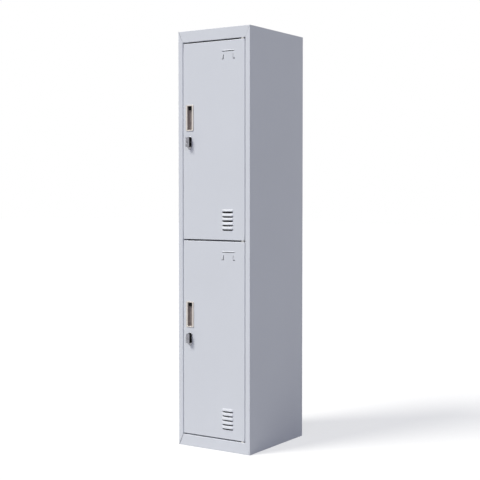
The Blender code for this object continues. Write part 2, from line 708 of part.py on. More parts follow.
def make_handle(tier, hinge):
    """A bright bezel on the door's face and a moulded cup behind it."""
    bezel_middle = FACE_Y - (BEZEL_PROUD + CLEARANCE) / 2
    outlines = [rounded_outline(BEZEL_WIDTH, BEZEL_HEIGHT, BEZEL_CORNER),
                rounded_outline(PULL_WIDTH, PULL_HEIGHT, PULL_CORNER)]
    add_flat(f"{tier}_handle_bezel", outlines, BEZEL_PROUD - CLEARANCE, SATIN_NICKEL, hinge,
             (LATCH_X, bezel_middle, HANDLE_HEIGHT), UPRIGHT)
    half_width = PULL_WIDTH / 2 + CUP_MARGIN + CUP_WALL
    half_height = PULL_HEIGHT / 2 + CUP_MARGIN + CUP_WALL
    bm = bmesh.new()
    add_block(bm, (-half_width, 0, -half_height), (half_width, CUP_DEPTH, half_height))
    notch(bm, lambda middle: abs(middle.y) < SNAP)
    add_sheet(f"{tier}_handle_cup", bm, TAUPE_PLASTIC, hinge, (LATCH_X, FACE_Y, HANDLE_HEIGHT),
              CUP_WALL, CUP_WALL + CUP_MARGIN)


def make_hinge_bolt(tier, hinge, bolt_axis, end, inward):
    """Bolt, spring and bracket at the sprung end of the door; inward points from that end into the door."""
    def away(distance):
        return inward * distance

    collar_foot = BOLT_COLLAR_AT + BOLT_COLLAR
    knob_top = BOLT_LENGTH_INSIDE - BOLT_KNOB
    chamfer = PIN_RADIUS / 3
    profile = [(0, BOLT_PROUD), (PIN_RADIUS - chamfer, BOLT_PROUD), (PIN_RADIUS, BOLT_PROUD - chamfer),
               (PIN_RADIUS, -BOLT_COLLAR_AT), (BOLT_COLLAR_RADIUS, -BOLT_COLLAR_AT),
               (BOLT_COLLAR_RADIUS, -collar_foot), (PIN_RADIUS, -collar_foot), (PIN_RADIUS, -knob_top),
               (BOLT_COLLAR_RADIUS, -knob_top - chamfer), (BOLT_COLLAR_RADIUS, chamfer - BOLT_LENGTH_INSIDE),
               (BOLT_COLLAR_RADIUS - chamfer, -BOLT_LENGTH_INSIDE), (0, -BOLT_LENGTH_INSIDE)]
    turn = (0, 0, 0) if inward < 0 else (math.radians(180), 0, 0)
    add_turned(f"{tier}_hinge_bolt", profile, ZINC_STEEL, bolt_axis, rotation=turn)

    start = collar_foot + CLEARANCE + SPRING_WIRE
    stop = BOLT_BRACKET_AT - CLEARANCE - SPRING_WIRE
    steps = SPRING_TURNS * SPRING_POINTS_PER_TURN
    coil = []
    for step in range(steps + 1):
        angle = 2 * math.pi * step / SPRING_POINTS_PER_TURN
        place = start + (stop - start) * step / steps
        coil.append((SPRING_RADIUS * math.cos(angle), SPRING_RADIUS * math.sin(angle), end + away(place)))
    add_wire(f"{tier}_bolt_spring", coil, SPRING_WIRE, ZINC_STEEL, hinge)

    leg_x = HINGE_EDGE - SHEET - CLEARANCE
    shelf_z = end + away(BOLT_BRACKET_AT)
    leg_middle = Vector((leg_x, 0, shelf_z - away(BRACKET_LEG / 2)))
    bm = blank(leg_middle, Y_AXIS * BRACKET_WIDTH, Z_AXIS * BRACKET_LEG)
    fold(bm, rim(bm, 2, shelf_z), -BRACKET_SHELF * X_AXIS)
    bmesh.ops.translate(bm, verts=bm.verts, vec=(0, 0, away(BRACKET_SHEET)))
    part = add_sheet(f"{tier}_bolt_bracket", bm, ZINC_STEEL, hinge, thickness=BRACKET_SHEET,
                     radius=2 * BRACKET_SHEET)
    hole = bmesh.new()
    add_rod(hole, (0, 0, shelf_z), Z_AXIS, HOLE_RADIUS, FLANGE)
    cut(part, hole)


# Locks, each built about its spindle at the door's face

def make_lock_body(tier, hinge):
    """The fixed pieces: plate on the face, barrel through the door, nut behind."""
    place = (LATCH_X, FACE_Y, LOCK_HEIGHT)
    hole = round_outline(BARREL_RADIUS + CLEARANCE)
    oval = rounded_outline(LOCK_PLATE_WIDTH, LOCK_PLATE_HEIGHT, LOCK_PLATE_WIDTH / 2 - SNAP,
                           (0, -LOCK_PLATE_DROP))
    plate_middle = -CLEARANCE - LOCK_PLATE_THICKNESS / 2
    add_flat(f"{tier}_lock_plate", [oval, hole], LOCK_PLATE_THICKNESS, BRIGHT_CHROME, hinge,
             (LATCH_X, FACE_Y + plate_middle, LOCK_HEIGHT), UPRIGHT)
    head_back = -(LOCK_PLATE_THICKNESS + 2 * CLEARANCE)
    bore = SPINDLE_RADIUS + CLEARANCE
    profile = [(BARREL_RADIUS, BARREL_END), (BARREL_RADIUS, head_back), (BARREL_HEAD_RADIUS, head_back),
               (BARREL_HEAD_RADIUS, head_back - BARREL_HEAD_THICKNESS), (bore, head_back - BARREL_HEAD_THICKNESS),
               (bore, BARREL_END)]
    add_turned(f"{tier}_lock_barrel", profile, ZINC_STEEL, hinge, place, ALONG_Y, hollow=True)
    angles = [math.radians(60 * corner) for corner in range(6)]
    hexagon = [(NUT_RADIUS * math.cos(angle), NUT_RADIUS * math.sin(angle)) for angle in angles]
    nut_middle = FACE_Y + SHEET + CLEARANCE + NUT_THICKNESS / 2
    add_flat(f"{tier}_lock_nut", [hexagon, hole], NUT_THICKNESS, ZINC_STEEL, hinge,
             (LATCH_X, nut_middle, LOCK_HEIGHT), UPRIGHT)


def make_latch(tier, latch):
    """The turning pieces: knob with its spindle, bright face, cam and cam screw."""
    half_width = KNOB_WIDTH / 2
    half_height = KNOB_HEIGHT / 2
    cam_front = CAM_FRONT_Y - FACE_Y
    cam_back = cam_front + CAM_THICKNESS
    bm = bmesh.new()
    add_block(bm, (-half_width, KNOB_FRONT, -half_height), (half_width, KNOB_BACK, half_height),
              lambda direction, offset: direction.cross(Y_AXIS).length < SNAP, KNOB_CORNER)
    knob = add_object(f"{tier}_lock_knob", mesh_from(bm, "lock_knob"), BLACK_PLASTIC, latch)
    spindle = bmesh.new()
    spindle_end = cam_front - CLEARANCE
    spindle_start = KNOB_BACK - FOLD_RADIUS
    add_rod(spindle, (0, (spindle_start + spindle_end) / 2, 0), Y_AXIS, SPINDLE_RADIUS, spindle_end - spindle_start)
    join(knob, spindle)
    square = bmesh.new()
    half_square = SPINDLE_SQUARE / 2
    add_block(square, (-half_square, spindle_end - FOLD_RADIUS, -half_square),
              (half_square, cam_back - CLEARANCE, half_square))
    join(knob, square)
    bores = bmesh.new()
    plug_back = -LOCK_PROUD + PLUG_SINK + PLUG_LENGTH
    plug_bore_end = plug_back + CLEARANCE
    bore_start = -LOCK_PROUD
    add_rod(bores, (0, (bore_start + plug_bore_end) / 2, 0), Y_AXIS, PLUG_RADIUS + CLEARANCE,
            plug_bore_end - bore_start)
    add_rod(bores, (0, cam_back - CAM_SCREW_LENGTH / 2, 0), Y_AXIS, CAM_SCREW_SHANK + CLEARANCE,
            CAM_SCREW_LENGTH + 4 * CLEARANCE)
    cut(knob, bores)

    face = [rounded_outline(KNOB_WIDTH, KNOB_HEIGHT, KNOB_CORNER), round_outline(PLUG_RADIUS + CLEARANCE)]
    add_flat(f"{tier}_lock_face", face, LOCK_FACE_THICKNESS, BRIGHT_CHROME, latch,
             (0, -LOCK_PROUD + LOCK_FACE_THICKNESS / 2, 0), UPRIGHT)

    half_cam = CAM_WIDTH / 2
    arm = [(half_cam * math.cos(angle), half_cam * math.sin(angle))
           for angle in (math.pi * step / (2 * CORNER_STEPS) for step in range(2 * CORNER_STEPS + 1))]
    tip = [(-half_cam, -CAM_REACH), (half_cam, -CAM_REACH)]
    half_hole = half_square + CLEARANCE
    square_hole = [(-half_hole, -half_hole), (half_hole, -half_hole), (half_hole, half_hole),
                   (-half_hole, half_hole)]
    add_flat(f"{tier}_lock_cam", [arm + tip, square_hole], CAM_THICKNESS, ZINC_STEEL, latch,
             (0, cam_front + CAM_THICKNESS / 2, 0), UPRIGHT)

    head = cam_back + CLEARANCE
    profile = [(0, head + CAM_SCREW_HEAD), (CAM_SCREW_RADIUS - CAM_SCREW_HEAD / 2, head + CAM_SCREW_HEAD),
               (CAM_SCREW_RADIUS, head + CAM_SCREW_HEAD / 2), (CAM_SCREW_RADIUS, head), (CAM_SCREW_SHANK, head),
               (CAM_SCREW_SHANK, cam_back - CAM_SCREW_LENGTH), (0, cam_back - CAM_SCREW_LENGTH)]
    add_turned(f"{tier}_cam_screw", profile, ZINC_STEEL, latch, rotation=ALONG_Y)


def make_key_plug(tier, latch):
    """The plug that the key turns, with its keyway."""
    front = -LOCK_PROUD + PLUG_SINK
    profile = [(0, front + PLUG_LENGTH), (PLUG_RADIUS, front + PLUG_LENGTH), (PLUG_RADIUS, front), (0, front)]
    plug = add_turned(f"{tier}_key_plug", profile, BRIGHT_CHROME, latch, rotation=ALONG_Y)
    keyway = bmesh.new()
    add_block(keyway, (-KEYWAY_WIDTH / 2, -KEYWAY_HEIGHT / 2, front - KEYWAY_DEPTH),
              (KEYWAY_WIDTH / 2, KEYWAY_HEIGHT / 2, front + KEYWAY_DEPTH))
    cut(plug, keyway)


def make_door(tier, bottom, end, inward):
    hinge = add_axis(f"{tier}_door_hinge", (PIVOT_X, PIVOT_Y, bottom))
    latch = add_axis(f"{tier}_latch_axis", (LATCH_X, FACE_Y, LOCK_HEIGHT), hinge)
    bolt_axis = add_axis(f"{tier}_bolt_axis", (0, 0, end), hinge)
    make_door_panel(tier, hinge)
    make_stiffener(tier, hinge)
    make_handle(tier, hinge)
    make_hinge_bolt(tier, hinge, bolt_axis, end, inward)
    make_lock_body(tier, hinge)
    make_latch(tier, latch)
    make_key_plug(tier, latch)


def smooth_round_pieces():
    for part in PARTS.objects:
        if part.type == "MESH" and any(modifier.type == "SCREW" for modifier in part.modifiers):
            part.data.shade_smooth()


def main():
    make_side_panel("left_side_panel", -1)
    make_side_panel("right_side_panel", 1)
    make_top_panel()
    make_bottom_panel()
    make_back_panel()
    make_middle_shelf()
    make_middle_hinge()
    make_washers()
    make_coat_rail("upper", HEIGHT)
    make_coat_rail("lower", SHELF_TOP)
    make_buffers("upper", UPPER_DOOR_BOTTOM)
    make_buffers("lower", LOWER_DOOR_BOTTOM)
    make_door("upper", UPPER_DOOR_BOTTOM, DOOR_HEIGHT, -1)
    make_door("lower", LOWER_DOOR_BOTTOM, 0, 1)
    smooth_round_pieces()


main()
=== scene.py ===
"""Looks of a two-tier steel school locker: its finishes, fine sheet metal, fittings and studio."""
from math import copysign, cos, pi, radians, sin, sqrt, tau

import bmesh
import bpy
from bpy.props import FloatProperty, FloatVectorProperty, IntProperty, PointerProperty
from bpy.types import Operator, Panel, PropertyGroup, Scene
from mathutils import Matrix, Vector


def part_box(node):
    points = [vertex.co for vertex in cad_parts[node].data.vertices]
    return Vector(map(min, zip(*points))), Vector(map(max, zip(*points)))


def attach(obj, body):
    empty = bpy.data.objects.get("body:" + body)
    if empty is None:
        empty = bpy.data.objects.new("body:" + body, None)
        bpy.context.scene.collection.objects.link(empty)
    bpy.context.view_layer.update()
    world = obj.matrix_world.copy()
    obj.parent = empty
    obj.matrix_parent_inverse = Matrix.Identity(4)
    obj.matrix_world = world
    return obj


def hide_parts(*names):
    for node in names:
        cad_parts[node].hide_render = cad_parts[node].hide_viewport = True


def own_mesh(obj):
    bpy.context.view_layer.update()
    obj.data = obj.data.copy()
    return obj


bl_info = {
    "name": "School locker",
    "version": (1, 0, 0),
    "blender": (4, 5, 0),
    "location": "3D View > Sidebar > Locker",
    "description": "Builds the looks of a two-tier steel school locker around its frame",
    "category": "Object",
}

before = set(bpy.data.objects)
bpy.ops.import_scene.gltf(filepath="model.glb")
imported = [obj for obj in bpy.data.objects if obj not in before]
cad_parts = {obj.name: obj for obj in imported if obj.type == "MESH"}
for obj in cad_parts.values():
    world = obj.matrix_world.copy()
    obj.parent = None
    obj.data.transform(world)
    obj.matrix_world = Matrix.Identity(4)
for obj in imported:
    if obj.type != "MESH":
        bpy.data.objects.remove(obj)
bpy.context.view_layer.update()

TIERS = ("upper", "lower")
X, Y, Z = range(3)
X_AXIS = Vector((1, 0, 0))
Y_AXIS = Vector((0, 1, 0))
Z_AXIS = Vector((0, 0, 1))
RIGHT_ANGLE = radians(90)
# Points this near are in one place, and points of cut sheets and of CAD copies this near are merged
SNAP = 1e-6
MERGE = 1e-5
# An edge that bends more than the first angle is sharp, and less than the second is flat
SHARP = radians(50)
FLAT = radians(1)
# Steps round turned pieces and lofted outlines, and over rounded edges, folds, domes and softened edges
TURNED_STEPS = 48
LOOP_STEPS = 40
EDGE_STEPS = 4
FOLD_STEPS = 4
DOME_STEPS = 6
SOFT_STEPS = 2
# Width of the picture and upward shift of the frame, in pixels
FRAME_PIXELS = 480
RISE_PIXELS = -10


def shade(*channels):
    """An 8-bit screen colour as linear values, by the sRGB curve."""
    values = [channel / 255 for channel in channels]
    return [value / 12.92 if value <= 0.04045 else ((value + 0.055) / 1.055) ** 2.4 for value in values]


# Settings a user would change

def length(label, text, default):
    return FloatProperty(name=label, description=text, default=default, min=0, unit="LENGTH", precision=5)


def colour(label, text, default):
    return FloatVectorProperty(name=label, description=text, default=default, size=3, min=0, max=1,
                               subtype="COLOR")


def level(label, text, default):
    return FloatProperty(name=label, description=text, default=default, min=0)


def angle(label, text, degrees):
    return FloatProperty(name=label, description=text, default=radians(degrees), unit="ROTATION")


class LockerSizes(PropertyGroup):
    sheet: length("Sheet", "Thickness of the folded sheet", 0.0008)
    fold_radius: length("Fold radius", "Outside radius of the folds", 0.0013)
    soft_radius: length("Soft radius", "Outside radius of the latch post", 0.0036)
    edge_radius: length("Edge radius", "Outside radius of the kick rail and the doors' head and hinge edge",
                        0.0028)
    flange: length("Flange", "Width of the fixing flanges", 0.020)
    relief: length("Relief", "Cut back at the corners of the flanges", 0.003)
    clearance: length("Clearance", "Gap between neighbouring sheets", 0.0003)
    post_width: length("Post width", "Face of the front posts", 0.0235)
    rail_height: length("Rail height", "Face of the top and kick rails", 0.050)
    rail_return: length("Rail return", "Depth that the rails turn in", 0.024)
    jamb_depth: length("Jamb depth", "Depth that the posts turn in", 0.022)
    stop_lip: length("Stop lip", "Lip that the doors close against", 0.012)
    foot_seam: length("Foot seam", "Open mitre seam at the latch side of the kick rail", 0.0018)
    head_seam: length("Head seam", "Open mitre seam at the latch side of the top rail", 0.0006)
    tight_seam: length("Tight seam", "Closed mitre seams at the hinge side", 0.0002)
    door_lip: length("Door lip", "Rear lip of the door edges", 0.010)
    door_lip_mitre: length("Door lip mitre", "Cut back at the ends of the rear lips", 0.012)


class LockerPressings(PropertyGroup):
    louvres: IntProperty(name="Louvres", description="Louvres at the foot of each door", default=5, min=1)
    louvre_pitch: length("Louvre pitch", "Height from louvre to louvre", 0.019)
    louvre_width: length("Louvre width", "Length of a louvre", 0.057)
    louvre_hood: length("Louvre hood", "Height of a louvre's hood", 0.0125)
    louvre_slot: length("Louvre slot", "Height of the slot under a hood", 0.0062)
    louvre_proud: length("Louvre proud", "How far a hood stands out", 0.0048)
    louvre_from_hinge: length("Louvre place", "Louvre centres from the hinge edge", 0.089)
    louvre_height: length("Louvre height", "Middle louvre above the foot of the door", 0.088)
    card_width: length("Card width", "Width of the card holder", 0.070)
    card_bar: length("Card bar", "Height of the bar pressed above the card", 0.0045)
    card_proud: length("Card proud", "How far the holder stands out", 0.0020)
    card_slit: length("Card slit", "Slit under the bar and round the lugs", 0.0026)
    card_lug_width: length("Lug width", "Width of a corner lug", 0.0080)
    card_lug_height: length("Lug height", "Height of a corner lug", 0.019)
    card_drop: length("Card drop", "Bar below the head of the door", 0.0433)
    card_lug_drop: length("Lug drop", "Foot of the lugs below the head of the door", 0.079)
    card_from_hinge: length("Card place", "Card centre from the hinge edge", 0.0855)
    cup_gap: length("Cup gap", "Gap round the handle cup", 0.0003)
    outer_trim: length("Outer trim", "Taken off the doors beside the rails, so that the gaps show", 0.0018)
    inner_trim: length("Inner trim", "Taken off the doors where they meet, so that the gap shows", 0.0008)


class LockerFinishes(PropertyGroup):
    paint: colour("Paint", "Powder coat", shade(207, 210, 216))
    zinc: colour("Zinc", "Plated steel", shade(178, 180, 182))
    chrome: colour("Chrome", "Bright lock pieces", shade(150, 150, 156))
    nickel: colour("Nickel", "Handle bezel", shade(212, 206, 200))
    taupe: colour("Taupe", "Handle cup", shade(156, 146, 140))
    # Black is also painted shade: the key slots, the screws' cross recesses and the blocks at the heads of
    # the handle cups
    black: colour("Black", "Moulded plastic", shade(7, 7, 8))
    nylon: colour("Nylon", "Hinge washers", shade(234, 231, 224))
    rubber: colour("Rubber", "Door buffers", shade(34, 34, 36))


class LockerStudio(PropertyGroup):
    eye: FloatVectorProperty(name="Eye", description="Place of the camera", size=3, unit="LENGTH",
                             default=(2.653, -4.0211, 1.1343))
    turn: angle("Turn", "Camera turned left of straight in", 33.443)
    tilt: angle("Tilt", "Camera tilted down", 2.016)
    lens: FloatProperty(name="Lens", description="Focal length", unit="CAMERA", default=79.36)
    rise: FloatProperty(name="Rise", description="Upward shift as a share of the frame",
                        default=RISE_PIXELS / FRAME_PIXELS)
    key: level("Key", "Light from the upper left", 0.89)
    fill: level("Fill", "Light from the camera's side", 0.20)
    ambient: level("Ambient", "Light from all round", 0.31)
    floor: level("Floor", "How light the floor is under the lamps", 0.44)


# Finishes

# The range that texture values are spread from, and the depth of every bump
TEXTURE_LOW = 0.3
TEXTURE_HIGH = 0.7
BUMP_DEPTH = 0.0001


def set_inputs(node, values):
    for name, value in values.items():
        node.inputs[name].default_value = value


class Nodes:
    """A material's node tree, with the few nodes that these finishes are made of."""

    def __init__(self, name, metallic=0.0, shine=0.5):
        self.finish = bpy.data.materials.new(name)
        self.finish.use_nodes = True
        self.tree = self.finish.node_tree
        self.shader = self.tree.nodes["Principled BSDF"]
        set_inputs(self.shader, {"Metallic": metallic, "Specular IOR Level": shine})
        self.coords = self.tree.nodes.new("ShaderNodeTexCoord").outputs["Object"]

    def add(self, kind, source, socket, values=None):
        """A new node with one socket fed by a source and other sockets set."""
        node = self.tree.nodes.new(f"ShaderNode{kind}")
        set_inputs(node, values or {})
        self.tree.links.new(source, node.inputs[socket])
        return node

    def link(self, output, socket):
        self.tree.links.new(output, self.shader.inputs[socket])

    def noise(self, scale, detail=2, stretch=(1, 1, 1)):
        place = self.add("Mapping", self.coords, "Vector", {"Scale": stretch}).outputs["Vector"]
        return self.add("TexNoise", place, "Vector", {"Scale": scale, "Detail": detail}).outputs["Fac"]

    def cells(self, scale):
        """A grey level for each cell."""
        texture = self.add("TexVoronoi", self.coords, "Vector", {"Scale": scale})
        return self.add("RGBToBW", texture.outputs["Color"], "Color").outputs["Val"]

    def spread(self, value, low, high):
        """A texture value spread over a range."""
        ends = {"From Min": TEXTURE_LOW, "From Max": TEXTURE_HIGH, "To Min": low, "To Max": high}
        return self.add("MapRange", value, "Value", ends).outputs["Result"]

    def tint(self, value, base, darker, lighter):
        """Move the colour between a darker and a lighter shade with a texture value."""
        node = self.add("Mix", self.spread(value, 0, 1), "Factor")
        node.data_type = "RGBA"
        ends = [socket for socket in node.inputs if socket.type == "RGBA"]
        for end, factor in zip(ends, (darker, lighter)):
            end.default_value = (*(min(channel * factor, 1) for channel in base), 1)
        self.link(next(socket for socket in node.outputs if socket.type == "RGBA"), "Base Color")

    def rough(self, value, low, high):
        """Move the roughness over a range with a texture value."""
        self.link(self.spread(value, low, high), "Roughness")

    def bump(self, value, strength):
        """Raise and sink the surface with a texture value."""
        node = self.add("Bump", value, "Height", {"Strength": strength, "Distance": BUMP_DEPTH})
        self.link(node.outputs["Normal"], "Normal")


def powder_coat(base):
    """Fine orange peel, a slightly uneven film and a soft sheen."""
    nodes = Nodes("grey_powder_coat")
    nodes.tint(nodes.noise(scale=3.5, detail=4), base, darker=0.986, lighter=1.012)
    nodes.rough(nodes.noise(scale=90, detail=3), low=0.40, high=0.50)
    nodes.bump(nodes.noise(scale=900), strength=0.10)
    return nodes.finish


def zinc_plate(base):
    """Small crystals of the plating, and drawing lines in the steel."""
    nodes = Nodes("zinc_plated_steel", metallic=1)
    nodes.tint(nodes.cells(scale=420), base, darker=0.86, lighter=1.06)
    nodes.rough(nodes.noise(scale=160, detail=3), low=0.28, high=0.44)
    nodes.bump(nodes.noise(scale=500, stretch=(1, 1, 0.06)), strength=0.12)
    return nodes.finish


def bright_chrome(base):
    """Polished plating with faint wipe marks."""
    nodes = Nodes("bright_chrome", metallic=1)
    nodes.tint(nodes.noise(scale=120, detail=3), base, darker=0.93, lighter=1.05)
    nodes.rough(nodes.noise(scale=300, detail=4, stretch=(1, 1, 0.2)), low=0.12, high=0.24)
    nodes.bump(nodes.noise(scale=900), strength=0.03)
    return nodes.finish


def satin_nickel(base):
    """Brushed along the length of the handle."""
    nodes = Nodes("satin_nickel", metallic=0.75)
    nodes.tint(nodes.noise(scale=700, detail=3, stretch=(1, 1, 0.03)), base, darker=0.94, lighter=1.03)
    nodes.rough(nodes.noise(scale=500, detail=3, stretch=(1, 1, 0.04)), low=0.30, high=0.42)
    nodes.bump(nodes.noise(scale=1400, stretch=(1, 1, 0.02)), strength=0.08)
    return nodes.finish


def moulded(name, base, rough, grain, shine=0.5):
    """Moulded plastic or rubber with a fine spark-eroded grain."""
    nodes = Nodes(name, shine=shine)
    vary = 0.06
    nodes.tint(nodes.noise(scale=60, detail=4), base, darker=0.88, lighter=1.10)
    nodes.rough(nodes.noise(scale=240, detail=3), low=rough - vary, high=rough + vary)
    nodes.bump(nodes.noise(grain, detail=3), strength=0.16)
    return nodes.finish


FINISHES = {}


class LOCKER_OT_finishes(Operator):
    """Make the paint, plated, moulded and rubber finishes"""
    bl_idname = "locker.finishes"
    bl_label = "Finishes"

    def execute(self, context):
        chosen = context.scene.locker_finishes
        FINISHES["paint"] = powder_coat(chosen.paint)
        FINISHES["zinc"] = zinc_plate(chosen.zinc)
        FINISHES["chrome"] = bright_chrome(chosen.chrome)
        FINISHES["nickel"] = satin_nickel(chosen.nickel)
        FINISHES["taupe"] = moulded("taupe_plastic", chosen.taupe, rough=0.50, grain=1300)
        # Moulded plastic, and also the painted shade of the key slots, screw recesses and cup heads
        FINISHES["black"] = moulded("black_plastic", chosen.black, rough=0.42, grain=1500, shine=0.10)
        FINISHES["nylon"] = moulded("white_nylon", chosen.nylon, rough=0.48, grain=1100)
        FINISHES["rubber"] = moulded("black_rubber", chosen.rubber, rough=0.78, grain=700)
        return {"FINISHED"}


# Pieces

def add_object(name, data):
    """A new object in the scene."""
    thing = bpy.data.objects.new(name, data)
    bpy.context.scene.collection.objects.link(thing)
    return thing


def add_piece(name, bm, finish, body, *nodes):
    """Turn a bmesh into a piece that rides on a body and stands for CAD nodes."""
    mesh = bpy.data.meshes.new(name)
    bm.normal_update()
    bm.to_mesh(mesh)
    bm.free()
    mesh.shade_smooth()
    mesh.materials.append(FINISHES[finish])
    piece = add_object(name, mesh)
    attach(piece, body)
    if nodes:
        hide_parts(*nodes)
    return piece


def even_normals(piece):
    """Keep flat faces flat beside rounded edges."""
    piece.modifiers.new("normals", "WEIGHTED_NORMAL")


def thicken(piece, wall):
    """Give an open sheet its thickness on the inside."""
    shell = piece.modifiers.new("wall", "SOLIDIFY")
    shell.thickness = wall
    shell.offset = -1


def add_sheet(name, bm, body, node, wall, radius):
    """A painted sheet with rounded folds."""
    piece = add_piece(name, bm, "paint", body, node)
    bend = piece.modifiers.new("folds", "BEVEL")
    bend.width = radius
    bend.segments = FOLD_STEPS
    bend.limit_method = "WEIGHT"
    thicken(piece, wall)
    even_normals(piece)


def dressed(node, finish, body, edge=0.0):
    """A merged copy of a CAD node whose shape is right, with smooth folds and softened edges."""
    bm = bmesh.new()
    bm.from_mesh(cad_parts[node].data)
    bmesh.ops.remove_doubles(bm, verts=bm.verts, dist=MERGE)
    bmesh.ops.dissolve_limit(bm, angle_limit=FLAT, verts=bm.verts, edges=bm.edges)
    piece = add_piece(node + "_finished", bm, finish, body, node)
    piece.data.set_sharp_from_angle(angle=SHARP)
    if edge:
        soft = piece.modifiers.new("edges", "BEVEL")
        soft.width = edge
        soft.segments = SOFT_STEPS
        soft.limit_method = "ANGLE"
        soft.angle_limit = SHARP
        even_normals(piece)


def base_of(node, axis):
    """Middle of the low side of a CAD node's box across an axis, and the box's size."""
    low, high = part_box(node)
    base = (low + high) / 2
    base[axis] = low[axis]
    return base, high - low


# Folded sheet

def blank(centre, along_u, along_v):
    """A flat sheet along_u wide and along_v tall, whose outside faces along_u x along_v."""
    normal = along_u.cross(along_v).normalized()
    plane = Matrix((along_u, along_v, normal)).transposed().to_4x4()
    plane.translation = centre
    bm = bmesh.new()
    bm.edges.layers.float.new("bevel_weight_edge")
    bmesh.ops.create_grid(bm, x_segments=1, y_segments=1, size=0.5, matrix=plane)
    return bm


def divide(bm, axis, places, inside=None):
    """Score a sheet across an axis, all over or only where inside picks its faces."""
    normal = (X_AXIS, Y_AXIS, Z_AXIS)[axis]
    for place in places:
        faces = [face for face in bm.faces if inside is None or inside(face.calc_center_median())]
        verts = dict.fromkeys(vert for face in faces for vert in face.verts)
        edges = dict.fromkeys(edge for face in faces for edge in face.edges)
        bmesh.ops.bisect_plane(bm, geom=[*verts, *edges, *faces], plane_co=normal * place,
                               plane_no=normal, dist=SNAP)


def notch(bm, is_waste):
    """Remove the faces whose middle is_waste picks out."""
    waste = [face for face in bm.faces if is_waste(face.calc_center_median())]
    bmesh.ops.delete(bm, geom=waste, context="FACES")


def rim(bm, axis, place, span_axis=None, span=None):
    """The sheet's free edges at one coordinate, within a span of another."""
    found = []
    for edge in bm.edges:
        if not edge.is_boundary or any(abs(vert.co[axis] - place) > SNAP for vert in edge.verts):
            continue
        if span is None or all(span[0] - SNAP < vert.co[span_axis] < span[1] + SNAP for vert in edge.verts):
            found.append(edge)
    return found


def fold(bm, edges, shift, mitre_axis=None, mitre=(0.0, 0.0), tightness=1.0):
    """Bend a flange from an edge and mark the fold; mitre draws in its low and high end.

    A tightness below 1 bends that fold with less than the sheet's full radius.
    """
    weight = bm.edges.layers.float["bevel_weight_edge"]
    made = bmesh.ops.extrude_edge_only(bm, edges=edges)["geom"]
    verts = [item for item in made if isinstance(item, bmesh.types.BMVert)]
    bmesh.ops.translate(bm, verts=verts, vec=shift)
    for vert in verts:
        for edge in vert.link_edges:
            edge[weight] = 0
    for edge in edges:
        edge[weight] = tightness
    if mitre_axis is not None:
        verts.sort(key=lambda vert: vert.co[mitre_axis])
        verts[0].co[mitre_axis] += mitre[0]
        verts[-1].co[mitre_axis] -= mitre[1]
    return [item for item in made if isinstance(item, bmesh.types.BMEdge) and item.is_boundary]


# Lofted and turned pieces

def outline(centre, width, height, corner):
    """Points round a rectangle with round corners, standing across Y."""
    points = []
    for step in range(LOOP_STEPS):
        turn = tau * (step + 0.5) / LOOP_STEPS
        x = corner * cos(turn) + copysign(width / 2 - corner, cos(turn))
        z = corner * sin(turn) + copysign(height / 2 - corner, sin(turn))
        points.append(centre + Vector((x, 0, z)))
    return points


def grown(front, size, profile):
    """Outlines of a (width, height, corner) rectangle; each profile entry is (depth along Y, growth)."""
    width, height, corner = size
    outlines = []
    for depth, growth in profile:
        place = front + Y_AXIS * depth
        round_off = max(corner + growth, SNAP)
        outlines.append(outline(place, width + 2 * growth, height + 2 * growth, round_off))
    return outlines


def loft(bm, outlines, cap_first=False, cap_last=False):
    """Skin a row of outlines by extruding one loop from each to the next."""
    ring = bmesh.ops.create_circle(bm, segments=LOOP_STEPS, radius=1)["verts"]
    first = edges = list(dict.fromkeys(edge for vert in ring for edge in vert.link_edges))
    for points in outlines:
        if points is not outlines[0]:
            made = bmesh.ops.extrude_edge_only(bm, edges=edges)["geom"]
            fresh = {item for item in made if isinstance(item, bmesh.types.BMVert)}
            lines = [item for item in made if isinstance(item, bmesh.types.BMEdge)]
            edges = [line for line in lines if set(line.verts) <= fresh]
            ring = [next(edge.other_vert(vert) for edge in vert.link_edges if edge.other_vert(vert) in fresh)
                    for vert in ring]
        for vert, point in zip(ring, points):
            vert.co = point
    for wanted, loop in ((cap_first, first), (cap_last, edges)):
        if wanted:
            bmesh.ops.edgeloop_fill(bm, edges=loop)
    bmesh.ops.remove_doubles(bm, verts=bm.verts, dist=SNAP)
    bmesh.ops.recalc_face_normals(bm, faces=bm.faces)


def block(front, size, profile):
    """A mesh of a lofted block that is closed at both ends."""
    bm = bmesh.new()
    loft(bm, grown(front, size, profile), cap_first=True, cap_last=True)
    return bm


def rounded(radius):
    """Profile of a rounded front edge, from the side to the face."""
    turns = [RIGHT_ANGLE * step / EDGE_STEPS for step in range(EDGE_STEPS + 1)]
    return [(radius * (1 - sin(turn)), -radius * (1 - cos(turn))) for turn in turns]


def dome(radius, rise, start):
    """Profile of a dome, from its rim at the start to just short of its top."""
    turns = [RIGHT_ANGLE * step / DOME_STEPS for step in range(DOME_STEPS)]
    return [(radius * cos(turn), start + rise * sin(turn)) for turn in turns]


def sleeve(bore, outer, long, ease):
    """Profile of a ring or tube with eased outer edges."""
    return [(bore, 0), (outer - ease, 0), (outer, ease), (outer, long - ease), (outer - ease, long),
            (bore, long), (bore, 0)]


def lathe(bm, profile, origin, axis):
    """Turn a profile of (radius, height) points about an axis; radius 0 closes an end."""
    across = axis.orthogonal().normalized()
    verts = [bm.verts.new(origin + across * radius + axis * height) for radius, height in profile]
    edges = [bm.edges.new(pair) for pair in zip(verts, verts[1:])]
    bmesh.ops.spin(bm, geom=verts + edges, cent=origin, axis=axis, angle=tau, steps=TURNED_STEPS,
                   use_merge=True)
    bmesh.ops.remove_doubles(bm, verts=bm.verts, dist=SNAP)
    bmesh.ops.recalc_face_normals(bm, faces=bm.faces)


def soften(bm, edges, width, steps=SOFT_STEPS):
    """Round edges of a mesh."""
    bmesh.ops.bevel(bm, geom=edges, offset=width, offset_type="OFFSET", segments=steps, profile=0.5,
                    affect="EDGES", material=-1)


